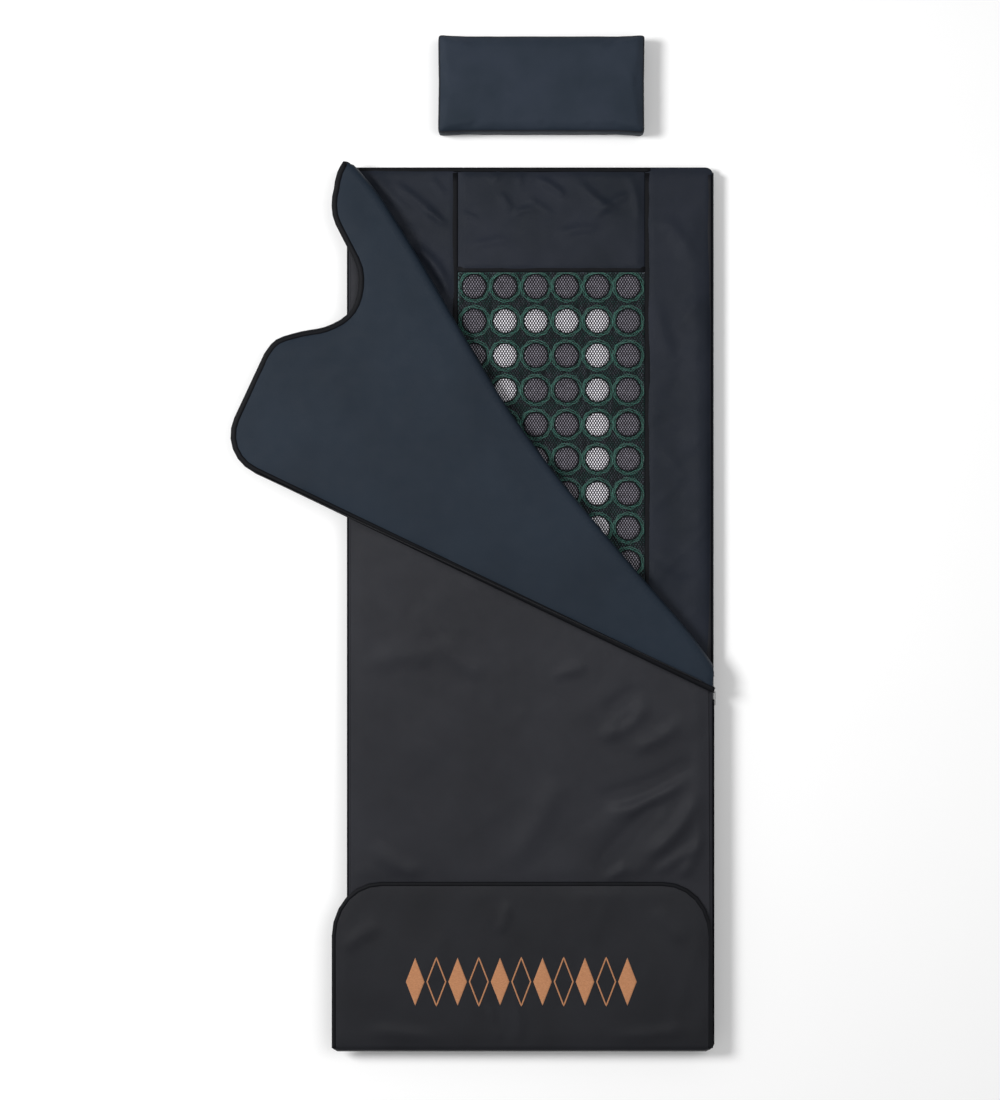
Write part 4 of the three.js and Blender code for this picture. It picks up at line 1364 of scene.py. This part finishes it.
def build_foot_binding():
    """The tape folded over the foot flap's free edges, and the stitches that hold it."""
    outline = foot_edge()
    free = outline[outline[:, 1] > FOOT_LOW.y + 5 * MM]
    free = spaced(opened(free), 6 * MM)
    path = np.column_stack([free, np.full(len(free), FOOT_MIDDLE)])
    w, h = 7 * MM, FOOT_HALF
    section = [(w, h + 0.5 * MM), (w * 0.55, h + 1.1 * MM), (1 * MM, h + 0.4 * MM), (-1.2 * MM, 0.3 * h),
               (-1.2 * MM, -0.3 * h), (1 * MM, -h), (w * 0.55, -h - 0.3 * MM), (w, -h),
               (w, -h + 0.4 * MM), (0.6 * MM, 0), (w, h - 0.3 * MM)]
    binding = sweep("foot_binding", path, section, [tape])
    attach(binding, "foot_flap", "binding_tape", "foot_flap_binding")
    inner = inset_loop(foot_edge(), 5 * MM)
    inner = opened(inner[inner[:, 1] > FOOT_LOW.y + 20 * MM])
    line = np.column_stack([inner, np.full(len(inner), FOOT_MIDDLE + h + 0.95 * MM)])
    attach(stitches("foot_binding_stitches", line, *STITCH, tape), "foot_flap",
           "binding_tape")


# ---- Embroidered motif: a row of lozenges, filled and open by turns ----

MOTIF_X = (-256 * MM, 218 * MM)
MOTIF_Y = (-808 * MM, -710 * MM)
MOTIF_COUNT = 11


def lozenge(centre, half_width, half_height):
    cx, cy = centre
    return np.array([[cx + half_width, cy], [cx, cy + half_height], [cx - half_width, cy],
                     [cx, cy - half_height]])


def build_motif():
    """Lozenges raised on the foot flap: a filled patch, then a corded outline, by turns."""
    pitch = (MOTIF_X[1] - MOTIF_X[0]) / MOTIF_COUNT
    half_height = (MOTIF_Y[1] - MOTIF_Y[0]) / 2
    middle = (MOTIF_Y[0] + MOTIF_Y[1]) / 2
    for k in range(MOTIF_COUNT):
        centre = (MOTIF_X[0] + pitch * (k + 0.5), middle)
        shape = lozenge(centre, pitch * 0.44, half_height)
        if k % 2 == 0:
            loop = spaced(shape, 4 * MM, closed=True)

            def top(xy, d):
                return foot_top(xy) + 0.1 * MM + 0.8 * MM * crown(d, 3 * MM)

            def under(xy, d):
                return foot_top(xy) + 0.05 * MM - 0.3 * MM * (d > ON_RIM)

            patch = quilt(f"motif_{k + 1:02d}", loop, 5 * MM, top, under, [copper_thread],
                          rings=(0.7 * MM, 2.4 * MM), place=foot_place)
        else:
            line = spaced(np.vstack([shape, shape[:1]]), 4 * MM)[:-1]
            points = foot_place(line, foot_top(line) + 0.3 * MM)
            section = [(-1.5 * MM, -0.2 * MM), (-1.1 * MM, 0.5 * MM), (0, 0.8 * MM),
                       (1.1 * MM, 0.5 * MM), (1.5 * MM, -0.2 * MM)]
            patch = sweep(f"motif_{k + 1:02d}", points, section, [copper_thread], closed=True)
        attach(patch, "foot_flap", "binding_tape")


# ---- Pillow ----


PILLOW_SHRINK = 2.5 * MM
PILLOW_SWELL = 3.5 * MM
PILLOW_CAP = 6 * MM
CORE_INSET = 13 * MM
WELT_INSET = 3.4 * MM
WELT_RADIUS = 1.6 * MM
WELT_HEIGHT = 9 * MM


def inflate(obj, voxel, pressure, cap):
    """Swells a closed mesh by cloth simulation, with each point's move limited to cap."""
    remesh = obj.modifiers.new("remesh", "REMESH")
    remesh.mode = "VOXEL"
    remesh.voxel_size = voxel
    bpy.context.view_layer.update()
    evaluated = obj.evaluated_get(bpy.context.evaluated_depsgraph_get())
    start = bpy.data.meshes.new_from_object(evaluated)
    obj.modifiers.clear()
    old = obj.data
    obj.data = start
    for m in old.materials:
        if m.name not in start.materials:
            start.materials.append(m)
    cloth = obj.modifiers.new("cloth", "CLOTH")
    cloth.settings.use_pressure = True
    cloth.settings.uniform_pressure_force = pressure
    cloth.settings.effector_weights.gravity = 0
    cloth.settings.quality = 5
    scene = bpy.context.scene
    for frame_number in range(1, 21):
        scene.frame_set(frame_number)
    evaluated = obj.evaluated_get(bpy.context.evaluated_depsgraph_get())
    before = np.array([v.co[:] for v in start.vertices])
    after = np.array([v.co[:] for v in evaluated.data.vertices])
    obj.modifiers.clear()
    scene.frame_set(1)
    move = after - before
    size = np.linalg.norm(move, axis=1)
    move *= np.minimum(1, cap / np.maximum(size, 1e-9))[:, None]
    start.vertices.foreach_set("co", (before + move).ravel())
    start.polygons.foreach_set("use_smooth", [True] * len(start.polygons))
    start.update()


def build_pillow():
    """A boxed case swollen by simulation, its foam core, and the welts and zip teeth on the case."""
    low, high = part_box("pillow_cover")
    # The simulation draws the case's sides in, so the plan starts larger where it runs.
    grow = PILLOW_SWELL
    outline = spaced(rounded_box(low, high, grow, 6 * MM), 10 * MM, closed=True)
    middle = high.z / 2
    half = middle - PILLOW_SHRINK

    def top(xy, d):
        return middle + half * crown(d, 8 * MM) * 0.75 + half * 0.25

    def bottom(xy, d):
        return middle - half * crown(d, 8 * MM) * 0.75 - half * 0.25 * (d > ON_RIM)

    pillow = quilt("pillow_case", outline, 14 * MM, top, bottom, [pillow_cloth],
                   rings=(0.8 * MM, 2.5 * MM, 5 * MM, 8 * MM))
    inflate(pillow, 5 * MM, 4, PILLOW_CAP)
    build_pillow_core(low, high, middle, half - 9 * MM)
    mesh = pillow.data
    places = np.array([v.co[:] for v in mesh.vertices])
    crumple = rumple(places[:, :2], 45 * MM, 51, 20, 1.5) * 0.7 * MM
    places[:, 2] = np.maximum(places[:, 2] + crumple * (places[:, 2] > middle), 0.3 * MM)
    mesh.vertices.foreach_set("co", places.ravel())
    mesh.update()
    attach(pillow, "pillow", "pillow_fabric", "pillow_cover")
    build_pillow_trim(pillow, low, high)


def build_pillow_core(low, high, middle, half):
    edge = spaced(rounded_box(low, high, -CORE_INSET, 8 * MM), 12 * MM, closed=True)
    core = quilt("pillow_core", edge, 30 * MM,
                 lambda xy, d: middle + half * (0.3 + 0.7 * crown(d, 8 * MM)),
                 lambda xy, d: middle - half * (0.3 * (d > ON_RIM) + 0.7 * crown(d, 8 * MM)),
                 [foam], rings=(1 * MM, 4 * MM, 8 * MM))
    attach(core, "pillow", "foam", "pillow_foam_core")


def build_pillow_trim(pillow, low, high):
    """Welts round the case and zip teeth on its head side, set where rays from outside meet it."""
    seam_points = spaced(rounded_box(low, high, -WELT_INSET, 6 * MM), 5 * MM, closed=True)
    ring = [(WELT_RADIUS * math.cos(a), WELT_RADIUS * math.sin(a))
            for a in np.linspace(0, 2 * math.pi, 7)[:-1]]
    case = BVHTree.FromObject(pillow, bpy.context.evaluated_depsgraph_get())
    centre = Vector(((low.x + high.x) / 2, (low.y + high.y) / 2, 0))

    def on_case(place, inward):
        hit = case.ray_cast(Vector(place) - inward * 30 * MM, inward)[0]
        return tuple(hit) if hit else tuple(place)

    for name, z in (("upper", high.z - WELT_HEIGHT), ("lower", WELT_HEIGHT)):
        path = [on_case((x, y, z), Vector((centre.x - x, centre.y - y, 0)).normalized())
                for x, y in seam_points]
        welt = sweep(f"pillow_welt_{name}", path, ring, [foot_cloth], closed=True)
        attach(welt, "pillow", "pillow_fabric")
    rail = [on_case((x, high.y, high.z / 2), Vector((0, -1, 0)))
            for x in np.linspace(low.x + 40 * MM, high.x - 40 * MM, 20)]
    teeth("pillow_zip_teeth", rail, (0, 1, 0), 2.5 * MM, 1.6 * MM, "pillow")


# ---- Zip ----


def block_mesh(blocks):
    """Vertices and faces of chamfered blocks: [(centre, along, outward, upward half-axes)]."""
    verts, faces = [], []
    for centre, a, b, c in blocks:
        n = len(verts)
        for sb, sc in ((-1, -1), (1, -1), (1, 1), (-1, 1)):
            verts += [centre - a + b * sb * 0.9 + c * sc * 0.9, centre + a + b * sb * 0.9 + c * sc * 0.9]
        for sb, sc in ((-1, -1), (1, -1), (1, 1), (-1, 1)):
            verts.append(centre + b * sb + c * sc)
        for k in range(4):
            j = (k + 1) % 4
            faces += [(n + 2 * k, n + 8 + k, n + 8 + j, n + 2 * j),
                      (n + 8 + k, n + 2 * k + 1, n + 2 * j + 1, n + 8 + j)]
        faces += [(n, n + 2, n + 4, n + 6), (n + 7, n + 5, n + 3, n + 1)]
    return verts, faces


def teeth(name, path, outward, pitch, size, body):
    """Zip teeth along a path, each a small chamfered block standing out from the tape."""
    run = spaced(path, 20 * MM)
    along = measured(run)
    outward = np.array(outward, float)
    blocks = []
    for s in np.arange(pitch / 2, along[-1], pitch):
        centre = point_at(run, along, s)
        ahead = point_at(run, along, s + pitch / 4) - centre
        ahead = ahead / max(np.linalg.norm(ahead), 1e-9)
        up = np.cross(ahead, outward)
        blocks.append((centre, ahead * pitch * 0.3, outward * size * 0.5, up * size * 0.75))
    verts, faces = block_mesh(blocks)
    made = new_object(name, verts, faces, [enamel], shade=False)
    tidy_normals(made)
    return attach(made, body, "zip_tape")


def build_zip_side(name, start, end, z_tape, z_teeth, outward, body, pitch):
    """One half of the zip: an upright tape from z_tape to z_teeth, with teeth along that edge."""
    outward = np.array(outward, float)
    half = 0.5 * MM
    step = 1 if z_teeth > z_tape else -1
    section = [(-half, z_tape), (half, z_tape), (half, z_teeth - step * 2.6 * MM),
               (half * 1.9, z_teeth - step * 1.6 * MM), (half * 1.9, z_teeth - step * 0.8 * MM),
               (-half * 1.9, z_teeth - step * 0.8 * MM), (-half * 1.9, z_teeth - step * 1.6 * MM),
               (-half, z_teeth - step * 2.6 * MM)]
    path = spaced([start, end], 20 * MM)
    strip = sweep(name + "_cloth", path, section, [tape])
    attach(strip, body, "zip_tape", name)
    rail = path + np.array([0, 0, z_teeth - step * 1.3 * MM])
    teeth(name + "_teeth", rail, outward, pitch, 1.9 * MM, body)
    z_sew = z_tape + step * 3 * MM
    line = path + outward * 0.55 * MM + np.array([0, 0, z_sew])
    attach(stitches(name + "_stitches", line, *STITCH, tape), body, "zip_tape")


def build_zip():
    pitch = 3.2 * MM
    low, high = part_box("zip_tape_base")
    x = (low.x + high.x) / 2
    build_zip_side("zip_tape_base", (x, low.y, 0), (x, high.y, 0), low.z, high.z, (1, 0, 0), "base",
                   pitch)
    low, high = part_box("zip_tape_lower_cover")
    build_zip_side("zip_tape_lower_cover", (x, low.y, 0), (x, high.y, 0), high.z, low.z, (1, 0, 0),
                   "base", pitch)
    low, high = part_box("zip_tape_flap")
    inset = 1.2 * MM
    start, end = (low.x + inset, high.y - inset, 0), (high.x - inset, low.y + inset, 0)
    run = np.array(end) - np.array(start)
    outward = np.array([run[1], -run[0], 0]) / np.linalg.norm(run)
    build_zip_side("zip_tape_flap", start, end, low.z, high.z, outward, "cover_flap", pitch)
    build_slider()


def bevelled(name, parts, material, bevel):
    """Rounded blocks joined in one piece: [(centre, size)], in millimetres."""
    work = bmesh.new()
    for centre, size in parts:
        made = bmesh.ops.create_cube(work, size=1)
        for v in made["verts"]:
            v.co = Vector(c * MM + k * s * MM for c, k, s in zip(centre, v.co, size))
    bmesh.ops.bevel(work, geom=work.edges[:], offset=bevel, segments=2, affect="EDGES",
                    clamp_overlap=True)
    mesh = bpy.data.meshes.new(name)
    work.to_mesh(mesh)
    work.free()
    mesh.materials.append(material)
    obj = bpy.data.objects.new(name, mesh)
    bpy.context.scene.collection.objects.link(obj)
    return obj


# The slider starts this far out from its CAD box, clear of the teeth it passes.
SLIDER_CLEAR = 0.75 * MM
# The frame of the pull tab: half its thickness in plan and in height.
RING_HALF = (0.5 * MM, 0.45 * MM)
RING_POINTS = 32


def build_slider():
    """A slider of two lipped plates with a wedge between them and a bridge for the tab's pin. It
    rides on the outer face of the teeth."""
    low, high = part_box("zip_slider")
    low.x += SLIDER_CLEAR
    c = (low + high) / 2 / MM
    size = (high - low) / MM
    parts = [((low.x / MM + 0.35, c.y, c.z), (0.7, size.y, size.z)),
             ((high.x / MM - 0.9, c.y, c.z), (0.7, size.y * 0.92, size.z * 0.86)),
             ((c.x - 0.2, high.y / MM - 2.2, c.z), (size.x - 0.8, 4, size.z * 0.34)),
             ((high.x / MM - 0.25, c.y + 2, c.z), (0.5, size.y * 0.35, size.z * 0.3)),
             ((low.x / MM + 0.45, c.y, low.z / MM + 0.35), (0.9, size.y * 0.8, 0.6)),
             ((low.x / MM + 0.45, c.y, high.z / MM - 0.35), (0.9, size.y * 0.8, 0.6))]
    attach(bevelled("zip_slider_body", parts, enamel, 0.2 * MM), "zip_slider", "zip_metal",
           "zip_slider")
    build_pull_tab()


def build_pull_tab():
    """A ring of wire, narrower at the far end."""
    low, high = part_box("zip_pull_tab")
    middle = (low + high) / 2
    width = high.z - low.z
    half_length = (high.y - low.y) / 2 - 0.5 * MM
    ring = []
    for k in range(RING_POINTS):
        a = 2 * math.pi * k / RING_POINTS
        taper = 1 - 0.25 * (0.5 + 0.5 * math.sin(a))
        ring.append((middle.x, middle.y + half_length * math.sin(a),
                     middle.z + (width / 2 - 0.5 * MM) * math.cos(a) * taper))
    p, q = RING_HALF
    tab = sweep("zip_pull_ring", ring, [(-p, -q), (p, -q), (p, q), (-p, q)], [enamel], closed=True,
                up=(1, 0, 0))
    attach(tab, "zip_pull", "zip_metal", "zip_pull_tab")


# ---- Small pieces on the base ----


def build_strip_stitches():
    """The stitches round the loop strip on the cover."""
    low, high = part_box("cover_loop_strip")
    x0, x1, y0, y1 = low.x + 2 * MM, high.x - 2 * MM, low.y + 2 * MM, high.y - 2 * MM
    path = [(x, y, high.z) for x, y in ((x0, y0), (x1, y0), (x1, y1), (x0, y1), (x0, y0))]
    attach(stitches("loop_strip_stitches", path, 3 * MM, 1 * MM, 0.4 * MM, tape), "base",
           "hook_and_loop")


OPEN_EDGE_START = -0.16


def build_edge_binding():
    """A bound edge along the base's open side, from the end of the fold to the head."""
    x = BASE_HIGH.x - 2.5 * MM
    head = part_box("lining_right_panel")[1].y - 12 * MM
    path = spaced([(x, OPEN_EDGE_START, 0), (x, head, 0)], 12 * MM)
    section = [(15 * MM, 22.2 * MM), (9 * MM, 23.8 * MM), (0, 23.4 * MM), (-2.6 * MM, 21.6 * MM),
               (-3.6 * MM, 18 * MM), (-3.2 * MM, 15 * MM), (-2.4 * MM, 15 * MM), (-2.4 * MM, 18 * MM),
               (-0.4 * MM, 20.8 * MM), (4 * MM, 21.2 * MM), (15 * MM, 21.4 * MM)]
    piece = sweep("open_edge_binding", path, section, [foot_cloth])
    attach(piece, "base", "binding_tape")


# ---- Camera, light and floor ----


FLOOR_SIZE = 60
# Lights: place, disc size in metres and power in watts; both aim at the middle of the base.
KEY_LIGHT = ((-3.2, 1.0, 3.6), 1.6, 195)
FILL_LIGHT = ((1.8, 0.6, 4.0), 3.0, 55)
WORLD_STRENGTH = 0.38
CAMERA_PLACE = (-0.0623, 0.1175, 4.7)
CAMERA_LENS = 49.9
SENSOR_HEIGHT = 24


def build_stage():
    """A plain pale floor under soft studio light."""
    bpy.ops.mesh.primitive_plane_add(size=FLOOR_SIZE)
    floor = bpy.context.object
    floor.name = "floor"
    floor.data.materials.append(make_floor())

    def area(name, place, size, power):
        light = bpy.data.lights.new(name, "AREA")
        light.shape = "DISK"
        light.size = size
        light.energy = power
        obj = bpy.data.objects.new(name, light)
        obj.location = place
        obj.rotation_euler = (Vector((0, 0, 0)) - Vector(place)).to_track_quat("-Z", "Y").to_euler()
        bpy.context.scene.collection.objects.link(obj)

    area("key", *KEY_LIGHT)
    area("fill", *FILL_LIGHT)
    world = bpy.data.worlds.new("studio")
    world.use_nodes = True
    world.node_tree.nodes["Background"].inputs["Color"].default_value = (1, 1, 1, 1)
    world.node_tree.nodes["Background"].inputs["Strength"].default_value = WORLD_STRENGTH
    bpy.context.scene.world = world
    bpy.context.scene.view_settings.view_transform = "Standard"


def build_camera():
    """The photograph's view: from straight above."""
    camera = bpy.data.cameras.new("camera")
    camera.sensor_fit = "VERTICAL"
    camera.sensor_height = SENSOR_HEIGHT
    camera.lens = CAMERA_LENS
    camera.clip_end = 100
    obj = bpy.data.objects.new("camera", camera)
    obj.location = CAMERA_PLACE
    bpy.context.scene.collection.objects.link(obj)
    bpy.context.scene.camera = obj


build_camera()
build_stage()
paint_carried_nodes()
build_base_shell()
build_lining()
build_tapes()
build_mat_cloth()
build_rings()
build_stones()
build_net()
build_cover()
build_cover_face()
build_flap_binding()
build_gussets()
build_foot_flap()
build_pillow()
build_zip()
build_strip_stitches()
build_edge_binding()
